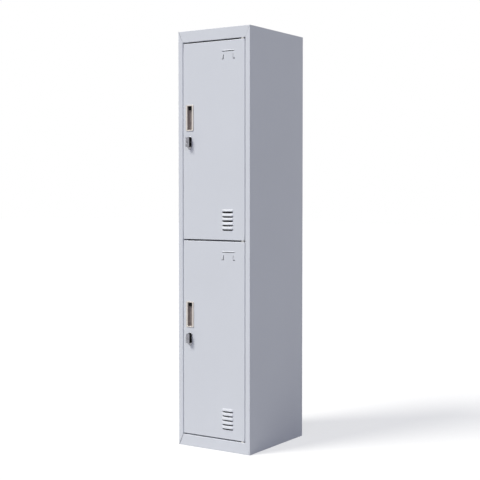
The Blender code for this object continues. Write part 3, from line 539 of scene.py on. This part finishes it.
def turned(name, profile, origin, axis, finish, body, node, edge=0.0002):
    """A turned piece with softened edges that stands for a CAD node."""
    bm = bmesh.new()
    lathe(bm, profile, origin, axis)
    sharp = [line for line in bm.edges if len(line.link_faces) == 2 and line.calc_face_angle() > SHARP]
    soften(bm, sharp, edge)
    even_normals(add_piece(name, bm, finish, body, node))


def add_box(bm, centre, size):
    """Add a box round a centre."""
    bmesh.ops.create_cube(bm, size=1, matrix=Matrix.Translation(centre) @ Matrix.Diagonal((*size, 1)))


# Carcass

def side_panel(sizes, label, side):
    """Side, front post with mitred ends, jamb and flanges; the latch side has the stop lip."""
    low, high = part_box(f"{label}_side_panel")
    outer = side * max(-low.x, high.x)
    centre = Vector((outer, (low.y + high.y) / 2, (low.z + high.z) / 2))
    bm = blank(centre, Y_AXIS * side * (high.y - low.y), Z_AXIS * (high.z - low.z))
    rear = (sizes.rail_height + sizes.relief, high.z - sizes.rail_height - sizes.relief)
    foot = (low.y + sizes.rail_return + sizes.relief, high.y - sizes.rail_return - sizes.relief)
    divide(bm, Z, rear)
    divide(bm, Y, foot)
    tight = sizes.fold_radius / sizes.soft_radius
    fold(bm, rim(bm, Y, high.y, Z, rear), -side * sizes.flange * X_AXIS, tightness=tight)
    fold(bm, rim(bm, Z, low.z, Y, foot), -side * sizes.flange * X_AXIS, tightness=tight)
    mitre = sizes.rail_height + sizes.clearance
    post = fold(bm, rim(bm, Y, low.y), -side * sizes.post_width * X_AXIS, Z, (mitre, mitre), tight)
    jamb = fold(bm, post, sizes.jamb_depth * Y_AXIS, tightness=1 if side < 0 else tight)
    if side < 0:
        fold(bm, jamb, sizes.stop_lip * X_AXIS, tightness=tight)
    add_sheet(f"{label}_side", bm, "frame", f"{label}_side_panel", sizes.sheet, sizes.soft_radius)


def roof(sizes):
    """Roof with the mitred top rail, its return, fixing flanges and an open seam at the latch side."""
    low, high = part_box("top_panel")
    half = high.x
    opening = half + sizes.sheet + sizes.clearance - sizes.post_width
    bm = blank(Vector((0, (low.y + high.y) / 2, high.z)), X_AXIS * 2 * half, Y_AXIS * (high.y - low.y))
    span = (low.y + sizes.rail_return + sizes.relief, high.y - sizes.relief)
    divide(bm, Y, span)
    for side in (-1, 1):
        fold(bm, rim(bm, X, side * half, Y, span), -sizes.flange * Z_AXIS)
    fold(bm, rim(bm, Y, high.y), -sizes.flange * Z_AXIS)
    for vert in bm.verts:
        if abs(vert.co.x + half) < SNAP and abs(vert.co.y - low.y) < SNAP:
            vert.co.x += sizes.head_seam
    mitre = half - opening
    rail = fold(bm, rim(bm, Y, low.y), -sizes.rail_height * Z_AXIS, X, (mitre, mitre + sizes.tight_seam))
    fold(bm, rail, sizes.rail_return * Y_AXIS)
    add_sheet("roof", bm, "frame", "top_panel", sizes.sheet, sizes.fold_radius)


def floor_pan(sizes):
    """Floor that fills both posts, with the mitred kick rail and the rear upright."""
    low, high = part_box("bottom_panel")
    half = high.x
    opening = half + sizes.sheet + sizes.clearance - sizes.post_width - sizes.tight_seam
    bm = blank(Vector((0, (low.y + high.y) / 2, high.z)), X_AXIS * 2 * half, Y_AXIS * (high.y - low.y))
    span = (low.y + sizes.jamb_depth + sizes.relief, high.y - sizes.relief)
    corner = low.y + sizes.edge_radius + sizes.sheet
    tight = sizes.fold_radius / sizes.edge_radius
    latch_end = -opening + sizes.foot_seam
    divide(bm, Y, (corner, *span))
    divide(bm, X, (latch_end, opening))
    notch(bm, lambda middle: not latch_end < middle.x < opening and middle.y < corner)
    for side in (-1, 1):
        fold(bm, rim(bm, X, side * half, Y, span), -sizes.flange * Z_AXIS, tightness=tight)
    rear = fold(bm, rim(bm, Y, high.y), -sizes.rail_height * Z_AXIS, tightness=tight)
    fold(bm, rear, -sizes.rail_return * Y_AXIS, tightness=tight)
    spread = opening - half
    rail = fold(bm, rim(bm, Y, low.y), -sizes.rail_height * Z_AXIS, X, (spread, spread))
    fold(bm, rail, sizes.rail_return * Y_AXIS, tightness=tight)
    add_sheet("floor_pan", bm, "frame", "bottom_panel", sizes.sheet, sizes.edge_radius)


class LOCKER_OT_carcass(Operator):
    """Fold the sides with their posts, the roof and the floor, and dress the back and the shelf"""
    bl_idname = "locker.carcass"
    bl_label = "Carcass"

    def execute(self, context):
        sizes = context.scene.locker_sizes
        side_panel(sizes, "left", -1)
        side_panel(sizes, "right", 1)
        roof(sizes)
        floor_pan(sizes)
        dressed("back_panel", "paint", "frame")
        dressed("middle_shelf", "paint", "frame")
        return {"FINISHED"}


# Doors

# Columns and rows of a hood, and the powers that square its ends and fill out its crown
HOOD_COLUMNS = 22
HOOD_ROWS = 7
HOOD_END_POWER = 7
HOOD_CROWN_POWER = 0.85
LUG_COLUMNS = 6
LUG_ROWS = 8


def hood(bm, face, middle, lip, width, height, slot, proud):
    """Press a hood outwards above a slot with round ends."""
    half = width / 2
    across = [middle - half * cos(pi * step / HOOD_COLUMNS) for step in range(1, HOOD_COLUMNS)]
    up = [lip + height * step / HOOD_ROWS for step in range(1, HOOD_ROWS)]

    def on_face(place):
        return abs(place.x - middle) < half and abs(place.y - face) < SNAP

    def in_hood(place):
        return on_face(place) and lip < place.z < lip + height

    def in_slot(place):
        return on_face(place) and lip - slot < place.z < lip

    divide(bm, X, across, lambda place: in_hood(place) or in_slot(place))
    divide(bm, Z, up, in_hood)
    notch(bm, in_slot)
    for vert in bm.verts:
        place = (vert.co.x - middle) / half
        if abs(vert.co.y - face) > SNAP or abs(place) > 1 + SNAP:
            continue
        ends = sqrt(max(1 - min(abs(place), 1) ** HOOD_END_POWER, 0))
        rise = (lip + height - vert.co.z) / height
        if abs(vert.co.z - (lip - slot)) < SNAP:
            vert.co.z += slot * (1 - ends)
        elif -SNAP < rise < 1 + SNAP:
            vert.co.y -= proud * ends * sin(RIGHT_ANGLE * max(rise, 0)) ** HOOD_CROWN_POWER


def lug(bm, face, outer, inward, foot, width, height, slit, proud):
    """Bend a corner lug outwards along a slit that runs down its inner edge and under it."""
    inner = outer + inward * width
    ends = sorted((outer, inner))
    slit_ends = sorted((inner, inner + inward * slit))

    def in_lug(place):
        return ends[0] < place.x < ends[1] and foot < place.z < foot + height

    def in_slit(place):
        beside = slit_ends[0] < place.x < slit_ends[1] and foot - slit < place.z < foot + height
        return beside or (ends[0] < place.x < ends[1] and foot - slit < place.z < foot)

    divide(bm, X, [outer + inward * width * step / LUG_COLUMNS for step in range(1, LUG_COLUMNS)], in_lug)
    divide(bm, Z, [foot + height * step / LUG_ROWS for step in range(1, LUG_ROWS)], in_lug)
    notch(bm, in_slit)
    for vert in bm.verts:
        reach = (vert.co.x - outer) * inward / width
        rise = (vert.co.z - foot) / height
        if -SNAP < reach < 1 + SNAP and -SNAP < rise < 1 + SNAP and abs(vert.co.y - face) < SNAP:
            bend = sin(RIGHT_ANGLE * max(reach, 0)) * cos(RIGHT_ANGLE * max(rise, 0))
            vert.co.y -= proud * bend


def trims(press, tier):
    """What is taken off the foot and the head of a door."""
    ends = (press.inner_trim, press.outer_trim)
    return ends if tier == "upper" else ends[::-1]


def door_panel(sizes, press, tier):
    """A pressed tray with rear lips, louvres, a card holder and the cut-out for the handle cup."""
    low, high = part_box(f"{tier}_door_panel")
    foot_trim, head_trim = trims(press, tier)
    low.z += foot_trim
    high.z -= head_trim
    face = low.y + press.louvre_proud
    depth = high.y - face
    centre = Vector((0, face, (low.z + high.z) / 2))
    bm = blank(centre, X_AXIS * (high.x - low.x), Z_AXIS * (high.z - low.z))

    louvre_x = high.x - press.louvre_from_hinge
    louvre_ends = [louvre_x - press.louvre_width / 2, louvre_x + press.louvre_width / 2]
    offsets = [number - (press.louvres - 1) / 2 for number in range(press.louvres)]
    drop = (press.louvre_hood - press.louvre_slot) / 2
    lips = [low.z + press.louvre_height + offset * press.louvre_pitch - drop for offset in offsets]
    card_x = high.x - press.card_from_hinge
    bar = high.z - press.card_drop - press.card_bar / 2
    foot = high.z - press.card_lug_drop
    half_card = press.card_width / 2
    lug_inner = half_card - press.card_lug_width
    cup_low, cup_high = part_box(f"{tier}_handle_cup")
    cut_low = cup_low - Vector((1, 1, 1)) * press.cup_gap
    cut_high = cup_high + Vector((1, 1, 1)) * press.cup_gap

    ends = (low.x + sizes.relief, high.x - sizes.relief)
    lug_lines = [half_card, lug_inner, lug_inner - press.card_slit]
    lines_x = [*ends, *louvre_ends, cut_low.x, cut_high.x]
    lines_x += [card_x + side * line for side in (-1, 1) for line in lug_lines]
    lines_z = [bar - press.card_slit, bar, bar + press.card_bar, cut_low.z, cut_high.z]
    lines_z += [foot - press.card_slit, foot, foot + press.card_lug_height]
    lines_z += [lip + step for lip in lips for step in (-press.louvre_slot, 0, press.louvre_hood)]
    divide(bm, X, lines_x)
    divide(bm, Z, lines_z)
    notch(bm, lambda middle: cut_low.x < middle.x < cut_high.x and cut_low.z < middle.z < cut_high.z)
    for lip in lips:
        hood(bm, face, louvre_x, lip, press.louvre_width, press.louvre_hood, press.louvre_slot,
             press.louvre_proud)
    hood(bm, face, card_x, bar, press.card_width, press.card_bar, press.card_slit, press.card_proud)
    for side in (-1, 1):
        lug(bm, face, card_x + side * half_card, -side, foot, press.card_lug_width, press.card_lug_height,
            press.card_slit, press.card_proud)
    bmesh.ops.remove_doubles(bm, verts=bm.verts, dist=MERGE)

    tight = sizes.fold_radius / sizes.edge_radius
    lip_mitre = (sizes.door_lip_mitre, sizes.door_lip_mitre)
    fold(bm, rim(bm, Z, low.z, X, ends), depth * Y_AXIS, tightness=tight)
    fold(bm, rim(bm, Z, high.z, X, ends), depth * Y_AXIS)
    for place, inward, tightness in ((low.x, 1, tight), (high.x, -1, 1)):
        flange = fold(bm, rim(bm, X, place, Y, (face, face)), depth * Y_AXIS, tightness=tightness)
        fold(bm, flange, inward * sizes.door_lip * X_AXIS, Z, lip_mitre, tight)
    add_sheet(f"{tier}_door_skin", bm, f"{tier}_door", f"{tier}_door_panel", sizes.sheet, sizes.edge_radius)


class LOCKER_OT_doors(Operator):
    """Press both doors and dress their stiffeners"""
    bl_idname = "locker.doors"
    bl_label = "Doors"

    def execute(self, context):
        for tier in TIERS:
            door_panel(context.scene.locker_sizes, context.scene.locker_pressings, tier)
            dressed(f"{tier}_door_stiffener", "paint", f"{tier}_door")
        return {"FINISHED"}


# Handles

def bezel(tier):
    """A bright frame with a rounded outer edge and an eased opening that covers the rim of the cup."""
    node = f"{tier}_handle_bezel"
    front, size = base_of(node, Y)
    hollow = base_of(f"{tier}_handle_cup", Y)[1]
    corner = 0.005
    edge = 0.0009
    cover = 0.0006
    inner_corner = 0.003
    ease = [(0, 0.0010), (0.0003, 0.0005), (0.0008, 0.0001), (0.0015, 0)]
    opening = (hollow.x - 2 * cover, hollow.z - 2 * cover, inner_corner)
    outlines = grown(front, (size.x, size.z, corner), [(size.y, 0), *rounded(edge)])
    outlines += grown(front, opening, [*ease, (size.y, 0)])
    bm = bmesh.new()
    loft(bm, outlines + [list(outlines[0])])
    even_normals(add_piece(f"{tier}_bezel", bm, "nickel", f"{tier}_door", node))


def cup(tier):
    """A moulded finger cup with round corners, drafted sides and a rounded floor."""
    node = f"{tier}_handle_cup"
    front, size = base_of(node, Y)
    wall = 0.0012
    corner = 0.0048
    draft = 0.0006
    front_part = 0.4
    floor_round = 0.003
    floor_rim = 0.0004
    # The front part of the depth takes a third of the draft
    profile = [(0, 0), (size.y * front_part, -draft / 3)]
    profile += [(size.y - rise, growth - draft) for rise, growth in rounded(floor_round)]
    bm = bmesh.new()
    loft(bm, grown(front, (size.x, size.z, corner), profile), cap_last=True)
    pan = max(bm.faces, key=lambda face: face.calc_area())
    bmesh.ops.inset_region(bm, faces=[pan], thickness=floor_rim, use_even_offset=True)
    bmesh.ops.poke(bm, faces=[face for face in bm.faces if len(face.verts) == LOOP_STEPS])
    piece = add_piece(f"{tier}_cup", bm, "taupe", f"{tier}_door", node)
    thicken(piece, wall)
    even_normals(piece)


def cup_head_shade(tier):
    """A black block across the head of the cup: painted shade, standing for the shadow that falls into the
    top of the recess.
    """
    front, size = base_of(f"{tier}_handle_cup", Y)
    wall = 0.0013
    tall = 0.016
    corner = 0.0028
    edge = 0.0012
    set_back = 0.0045
    front += Vector((0, set_back, size.z / 2 - wall - tall / 2))
    profile = [(size.y - set_back - wall, 0), *rounded(edge)]
    bm = block(front, (size.x - 2 * wall, tall, corner), profile)
    even_normals(add_piece(f"{tier}_cup_head_shade", bm, "black", f"{tier}_door"))


class LOCKER_OT_handles(Operator):
    """Make the handle bezels and cups, and the black blocks of painted shade at the heads of the cups"""
    bl_idname = "locker.handles"
    bl_label = "Handles"

    def execute(self, context):
        for tier in TIERS:
            bezel(tier)
            cup(tier)
            cup_head_shade(tier)
        return {"FINISHED"}


# Locks

# Corner radius of the grip and of the cap on it
GRIP_CORNER = 0.0025


def lock_plate(tier):
    """A bright plate with round corners and a rounded front edge."""
    node = f"{tier}_lock_plate"
    front, size = base_of(node, Y)
    corner = 0.01195
    edge = 0.0009
    bm = block(front, (size.x, size.z, corner), [(size.y, 0), *rounded(edge)])
    even_normals(add_piece(f"{tier}_plate", bm, "chrome", f"{tier}_door", node))


def knob(tier):
    """A moulded grip with grooves round it, on a round spindle."""
    node = f"{tier}_lock_knob"
    low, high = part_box(node)
    front, size = base_of(f"{tier}_lock_face", Y)
    front.y = low.y
    plate_gap = 0.0021
    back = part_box(f"{tier}_lock_plate")[0].y - plate_gap
    depth = back - low.y
    back_edge = 0.0008
    grooves = 5
    first_groove = 0.12
    groove_pitch = 0.16
    groove = [(0, 0), (0.03, 0.0005), (0.08, 0.0005), (0.11, 0)]
    profile = [(0, 0)]
    for number in range(grooves):
        start = depth * (first_groove + groove_pitch * number)
        profile += [(start + depth * along, -deep) for along, deep in groove]
    profile += [(depth - back_edge, 0), (depth, -back_edge)]
    bm = block(front, (size.x, size.z, GRIP_CORNER), profile)
    long = high.y - back
    shank = 0.004
    tail = 0.0034
    shoulder = long - 0.0022
    spindle = [(0, 0), (shank, 0), (shank, shoulder), (tail, shoulder), (tail, long), (0, long)]
    lathe(bm, spindle, Vector((front.x, back, front.z)), Y_AXIS)
    even_normals(add_piece(f"{tier}_knob", bm, "black", f"{tier}_latch", node))


def lock_face(tier):
    """A bright cap with a raised border and a sunk field."""
    node = f"{tier}_lock_face"
    front, size = base_of(node, Y)
    edge = 0.0005
    border = 0.0016
    sunk = 0.0008
    profile = [(size.y, 0), *rounded(edge), (0, -border), (sunk, -border - sunk)]
    bm = block(front, (size.x, size.z, GRIP_CORNER), profile)
    even_normals(add_piece(f"{tier}_cap", bm, "chrome", f"{tier}_latch", node))


def key_plug(tier):
    """A plug with a raised ring, a sunk field and a black slot for the key, whose black is painted shade for
    the slot's hollow.
    """
    node = f"{tier}_key_plug"
    front, size = base_of(node, Y)
    radius = size.x / 2
    ring = 0.0009
    ease = 0.0003
    sunk = 0.0004
    pit = 0.0012
    pit_mouth = 0.0013
    profile = [(0, pit), (pit, pit), (pit_mouth, sunk), (radius - ring, sunk), (radius - ring / 2, 0),
               (radius, ease), (radius, size.y), (0, size.y)]
    turned(f"{tier}_plug", profile, front, Y_AXIS, "chrome", f"{tier}_key", node, edge=0.0001)
    # A thin black box in the sunk field stands for the slot; its black is painted shade, not a part of its
    # own
    keyway_shade = (0.0013, 0.0004, 0.006)
    keyway_round = 0.0005
    bm = bmesh.new()
    add_box(bm, front + Y_AXIS * sunk, keyway_shade)
    upright = [line for line in bm.edges if abs(line.verts[0].co.y - line.verts[1].co.y) > SNAP]
    soften(bm, upright, keyway_round, steps=3)
    even_normals(add_piece(f"{tier}_keyway", bm, "black", f"{tier}_key"))


def barrel(tier):
    """The threaded barrel through the door, with its head on the plate."""
    node = f"{tier}_lock_barrel"
    front, size = base_of(node, Y)
    long = size.y
    bore = 0.0043
    head = 0.0088
    head_depth = 0.0012
    crest = 0.008
    root = 0.0076
    pitch = 0.001
    thread_start = 0.0055
    plain_end = 0.0012
    chamfer = [(0.0079, long - 0.0006), (0.0074, long)]
    profile = [(bore, 0), (head, 0), (head, head_depth), (crest, head_depth)]
    for number in range(int((long - thread_start - plain_end) / pitch)):
        place = thread_start + number * pitch
        profile += [(crest, place), (root, place + pitch / 2)]
    profile += [*chamfer, (bore, long), (bore, 0)]
    turned(f"{tier}_barrel", profile, front, Y_AXIS, "zinc", f"{tier}_door", node, edge=0.0001)


def cam_screw(tier):
    """A pan head with a cross recess, shown by black boxes of painted shade for the recess's hollow."""
    node = f"{tier}_cam_screw"
    base, size = base_of(node, Y)
    long = size.y
    radius = size.x / 2
    shank = 0.0016
    head = 0.0025
    crown = head * 0.55
    profile = [(0, 0), (shank, 0), (shank, long - head), (radius, long - head),
               *dome(radius, crown, long - crown), (0, long)]
    turned(f"{tier}_screw", profile, base, Y_AXIS, "zinc", f"{tier}_latch", node)
    # Black boxes across the head stand for the cross recess; their black is painted shade
    arm = 0.0011
    span = 0.0052
    deep = 0.0012
    below_top = 0.00055
    edge = 0.0001
    bm = bmesh.new()
    for recess in ((arm, deep, span), (span, deep, arm)):
        add_box(bm, base + Y_AXIS * (long - below_top), recess)
    soften(bm, bm.edges[:], edge, steps=1)
    add_piece(f"{tier}_screw_recess_shade", bm, "black", f"{tier}_latch")


class LOCKER_OT_locks(Operator):
    """Make the lock plates, barrels, knobs, key plugs, cams and screws"""
    bl_idname = "locker.locks"
    bl_label = "Locks"

    def execute(self, context):
        for tier in TIERS:
            lock_plate(tier)
            barrel(tier)
            dressed(f"{tier}_lock_nut", "zinc", f"{tier}_door", edge=0.0004)
            knob(tier)
            lock_face(tier)
            key_plug(tier)
            dressed(f"{tier}_lock_cam", "zinc", f"{tier}_latch", edge=0.0003)
            cam_screw(tier)
        return {"FINISHED"}


# Hinges

def coil(tier):
    """A spring wound between the bolt's collar and the bracket."""
    node = f"{tier}_bolt_spring"
    low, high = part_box(node)
    middle = (low + high) / 2
    wire = 0.0005
    wire_sides = 10
    turns = 5.5
    steps_per_turn = 22
    radius = (high.x - low.x) / 2 - wire
    bm = bmesh.new()
    start = Vector((middle.x + radius, middle.y, low.z + wire))
    ring = Matrix.Translation(start) @ Matrix.Rotation(RIGHT_ANGLE, 4, "X")
    bmesh.ops.create_circle(bm, segments=wire_sides, radius=wire, cap_ends=True, matrix=ring)
    steps = int(turns * steps_per_turn)
    climb = (high.z - low.z - 2 * wire) / steps
    bmesh.ops.spin(bm, geom=bm.faces[:], cent=middle, axis=Z_AXIS, dvec=Z_AXIS * climb,
                   angle=tau * turns, steps=steps)
    bmesh.ops.remove_doubles(bm, verts=bm.verts, dist=SNAP)
    bmesh.ops.recalc_face_normals(bm, faces=bm.faces)
    piece = add_piece(f"{tier}_spring", bm, "zinc", f"{tier}_door", node)
    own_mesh(piece)


def bolt(tier):
    """A turned bolt with a collar, a domed tip and a grooved finger knob."""
    node = f"{tier}_hinge_bolt"
    origin, size = base_of(node, Z)
    long = size.z
    pin = 0.003
    collar = size.x / 2
    collar_at = long - 0.015
    collar_end = collar_at + 0.002
    grip = 0.008
    shoulder = 0.001
    ease = 0.0006
    grooves = 4
    first_groove = 0.0012
    groove_pitch = 0.0016
    groove = [(0, 0), (0.0003, 0.0003), (0.0007, 0.0003), (0.001, 0)]
    profile = [(0, 0), (collar - ease, 0), (collar, ease)]
    for number in range(grooves):
        place = first_groove + number * groove_pitch
        profile += [(collar - deep, place + along) for along, deep in groove]
    profile += [(collar, grip - shoulder), (pin, grip), (pin, collar_at), (collar, collar_at),
                (collar, collar_end), (pin, collar_end), *dome(pin, pin, long - pin), (0, long)]
    up = Z_AXIS
    if tier == "lower":
        up = -Z_AXIS
        origin.z += long
    turned(f"{tier}_bolt", profile, origin, up, "zinc", f"{tier}_hinge_bolt", node, edge=0.00015)


def washer(press, tier, end):
    """A nylon ring that reaches to the trimmed edge of its door."""
    node = f"{tier}_door_{end}_washer"
    origin, size = base_of(node, Z)
    foot_trim, head_trim = trims(press, tier)
    bore = 0.0033
    ease = 0.0006
    widened = 0.0010
    tall = size.z + foot_trim
    if end == "top":
        origin.z -= head_trim
        tall = size.z + head_trim
    profile = sleeve(bore, size.x / 2 + widened, tall, ease)
    turned(f"{tier}_door_{end}_ring", profile, origin, Z_AXIS, "nylon", "frame", node)


def hinge_pin():
    """A pin with tapered ends that both doors turn on."""
    node = "middle_hinge_pin"
    origin, size = base_of(node, Z)
    long = size.z
    radius = size.x / 2
    tip = radius * 0.6
    taper = radius * 0.5
    profile = [(0, 0), (tip, 0), (radius, taper), (radius, long - taper), (tip, long), (0, long)]
    turned("hinge_pin", profile, origin, Z_AXIS, "zinc", "frame", node)


def rivet(number):
    """A shank with a domed head."""
    node = f"hinge_plate_rivet_{number}"
    origin, size = base_of(node, Z)
    long = size.z
    head = 0.0012
    shank = 0.002
    profile = [(0, 0), (shank, 0), (shank, long - head), *dome(size.x / 2, head, long - head), (0, long)]
    turned(f"rivet_{number}", profile, origin, Z_AXIS, "zinc", "frame", node, edge=0.0001)


class LOCKER_OT_hinges(Operator):
    """Make the middle hinge, washers, sprung bolts, springs and brackets"""
    bl_idname = "locker.hinges"
    bl_label = "Hinges"

    def execute(self, context):
        dressed("middle_hinge_plate", "zinc", "frame", edge=0.0002)
        hinge_pin()
        for number in (1, 2):
            rivet(number)
        for tier in TIERS:
            for end in ("top", "foot"):
                washer(context.scene.locker_pressings, tier, end)
            dressed(f"{tier}_bolt_bracket", "zinc", f"{tier}_door", edge=0.0002)
            bolt(tier)
            coil(tier)
        return {"FINISHED"}


# Inside fittings

def coat_rail(tier):
    """A drawn tube with eased ends."""
    node = f"{tier}_coat_rail"
    origin, size = base_of(node, X)
    radius = size.z / 2
    wall = 0.0012
    ease = 0.0004
    profile = sleeve(radius - wall, radius, size.x, ease)
    turned(f"{tier}_rail", profile, origin, X_AXIS, "zinc", "frame", node)


def rail_socket(tier, label, side):
    """A moulded flange and cup that hold the end of the rail."""
    node = f"{tier}_rail_socket_{label}"
    origin, size = base_of(node, X)
    long = size.x
    outer = size.z / 2
    bore = 0.0083
    base = 0.003
    fillet = 0.001
    lip = 0.0006
    profile = [(0, base), (bore, base), (bore, long), (outer - 2 * lip, long), (outer - lip, long - lip),
               (outer - lip, base + fillet), (outer, base), (outer, 0), (0, 0)]
    if side > 0:
        origin.x += long
    turned(f"{tier}_socket_{label}", profile, origin, X_AXIS * -side, "black", "frame", node)


def buffer(tier, end):
    """A rubber stud with a domed face."""
    node = f"{tier}_buffer_{end}"
    front, size = base_of(node, Y)
    radius = size.x / 2
    crown = size.y * 0.35
    profile = [(0, size.y), (radius, size.y), *dome(radius, -crown, crown), (0, 0)]
    turned(f"{tier}_stud_{end}", profile, front, Y_AXIS, "rubber", "frame", node)


class LOCKER_OT_fittings(Operator):
    """Make the coat rails with their sockets, and the door buffers"""
    bl_idname = "locker.fittings"
    bl_label = "Inside fittings"

    def execute(self, context):
        for tier in TIERS:
            coat_rail(tier)
            rail_socket(tier, "left", -1)
            rail_socket(tier, "right", 1)
            for end in ("foot", "top"):
                buffer(tier, end)
        return {"FINISHED"}


# Studio

# Each lamp's name, where it shines from, its spread in degrees and its tone
LAMPS = (("key", (-0.36, -0.60, 0.84), 20, (1, 0.985, 0.92)),
         ("fill", (0.50, -0.80, 0.35), 40, (0.80, 0.82, 1)))
AMBIENT_TONE = (0.80, 0.83, 1.0)
WHITE = (1, 1, 1)
# Half the width of the floor, how far it lies below the locker, and its finish
FLOOR_REACH = 30
FLOOR_DROP = 0.0005
FLOOR_ROUGHNESS = 0.9
# How much of the floor's own colour the lamps show; a glow makes up the rest to white
FLOOR_LIT = 0.90
# Width of the camera's sensor in millimetres, and its nearest sight in metres
SENSOR = 36
NEAREST = 0.1


def seen_directly(tree):
    """One for rays that come straight from the camera, or by way of metal or glass."""
    path = tree.nodes.new("ShaderNodeLightPath")
    total = path.outputs["Is Camera Ray"]
    for name in ("Is Glossy Ray", "Is Transmission Ray"):
        add = tree.nodes.new("ShaderNodeMath")
        add.operation = "MAXIMUM"
        tree.links.new(total, add.inputs[0])
        tree.links.new(path.outputs[name], add.inputs[1])
        total = add.outputs["Value"]
    return total


def background(tree, tone, strength):
    node = tree.nodes.new("ShaderNodeBackground")
    set_inputs(node, {"Color": (*tone, 1), "Strength": strength})
    return node.outputs["Background"]


def light_world(studio):
    """White where the camera or metal sees it, and a cool even light elsewhere."""
    world = bpy.data.worlds.new("studio")
    world.use_nodes = True
    tree = world.node_tree
    tree.nodes.clear()
    mix = tree.nodes.new("ShaderNodeMixShader")
    out = tree.nodes.new("ShaderNodeOutputWorld")
    tree.links.new(seen_directly(tree), mix.inputs["Fac"])
    tree.links.new(background(tree, AMBIENT_TONE, studio.ambient), mix.inputs[1])
    tree.links.new(background(tree, WHITE, 1), mix.inputs[2])
    tree.links.new(mix.outputs["Shader"], out.inputs["Surface"])
    bpy.context.scene.world = world


def lay_floor(studio):
    """A wide pale floor that keeps the shadow."""
    bm = bmesh.new()
    bmesh.ops.create_grid(bm, x_segments=1, y_segments=1, size=FLOOR_REACH)
    mesh = bpy.data.meshes.new("studio_floor")
    bm.to_mesh(mesh)
    bm.free()
    floor = add_object("studio_floor", mesh)
    floor.location.z = -FLOOR_DROP
    paint = bpy.data.materials.new("pale_floor")
    paint.use_nodes = True
    tree = paint.node_tree
    shader = tree.nodes["Principled BSDF"]
    set_inputs(shader, {"Roughness": FLOOR_ROUGHNESS, "Specular IOR Level": 0,
                        "Base Color": (studio.floor, studio.floor, studio.floor, 1),
                        "Emission Color": (*WHITE, 1)})
    glow = tree.nodes.new("ShaderNodeMath")
    glow.operation = "MULTIPLY"
    glow.inputs[1].default_value = 1 - studio.floor * FLOOR_LIT
    tree.links.new(seen_directly(tree), glow.inputs[0])
    tree.links.new(glow.outputs["Value"], shader.inputs["Emission Strength"])
    mesh.materials.append(paint)


def add_lamp(name, direction, strength, spread, tone):
    """A soft distant lamp; a strength of 1 shows a facing surface as its colour is written."""
    lamp = bpy.data.lights.new(name, "SUN")
    lamp.energy = strength * pi
    lamp.angle = radians(spread)
    lamp.color = tone
    add_object(name, lamp).rotation_euler = Vector(direction).to_track_quat("Z", "Y").to_euler()


def place_camera(studio):
    lens = bpy.data.cameras.new("camera")
    lens.lens = studio.lens
    lens.sensor_width = SENSOR
    lens.shift_y = studio.rise
    lens.clip_start = NEAREST
    camera = add_object("camera", lens)
    camera.location = studio.eye
    camera.rotation_euler = (RIGHT_ANGLE - studio.tilt, 0, studio.turn)
    bpy.context.scene.camera = camera


class LOCKER_OT_studio(Operator):
    """Set up the floor, lamps, surroundings and camera"""
    bl_idname = "locker.studio"
    bl_label = "Studio"

    def execute(self, context):
        studio = context.scene.locker_studio
        light_world(studio)
        lay_floor(studio)
        for name, direction, spread, tone in LAMPS:
            add_lamp(name, direction, getattr(studio, name), spread, tone)
        place_camera(studio)
        context.scene.view_settings.view_transform = "Standard"
        return {"FINISHED"}


# Add-on

OPERATORS = (LOCKER_OT_finishes, LOCKER_OT_carcass, LOCKER_OT_doors, LOCKER_OT_handles, LOCKER_OT_locks,
             LOCKER_OT_hinges, LOCKER_OT_fittings, LOCKER_OT_studio)
GROUPS = {"locker_sizes": LockerSizes, "locker_pressings": LockerPressings,
          "locker_finishes": LockerFinishes, "locker_studio": LockerStudio}


class LOCKER_PT_panel(Panel):
    """The locker's settings and steps"""
    bl_label = "School locker"
    bl_idname = "LOCKER_PT_panel"
    bl_space_type = "VIEW_3D"
    bl_region_type = "UI"
    bl_category = "Locker"

    def draw(self, context):
        for operator in OPERATORS:
            self.layout.operator(operator.bl_idname)
        for name, group in GROUPS.items():
            box = self.layout.box()
            for setting in group.__annotations__:
                box.prop(getattr(context.scene, name), setting)


def register():
    for cls in (*GROUPS.values(), *OPERATORS, LOCKER_PT_panel):
        bpy.utils.register_class(cls)
    for name, group in GROUPS.items():
        setattr(Scene, name, PointerProperty(type=group))


def unregister():
    for name in GROUPS:
        delattr(Scene, name)
    for cls in (LOCKER_PT_panel, *reversed(OPERATORS), *reversed(GROUPS.values())):
        bpy.utils.unregister_class(cls)


def main():
    register()
    bpy.ops.locker.finishes()
    bpy.ops.locker.carcass()
    bpy.ops.locker.doors()
    bpy.ops.locker.handles()
    bpy.ops.locker.locks()
    bpy.ops.locker.hinges()
    bpy.ops.locker.fittings()
    bpy.ops.locker.studio()


if __name__ == "__main__":
    main()
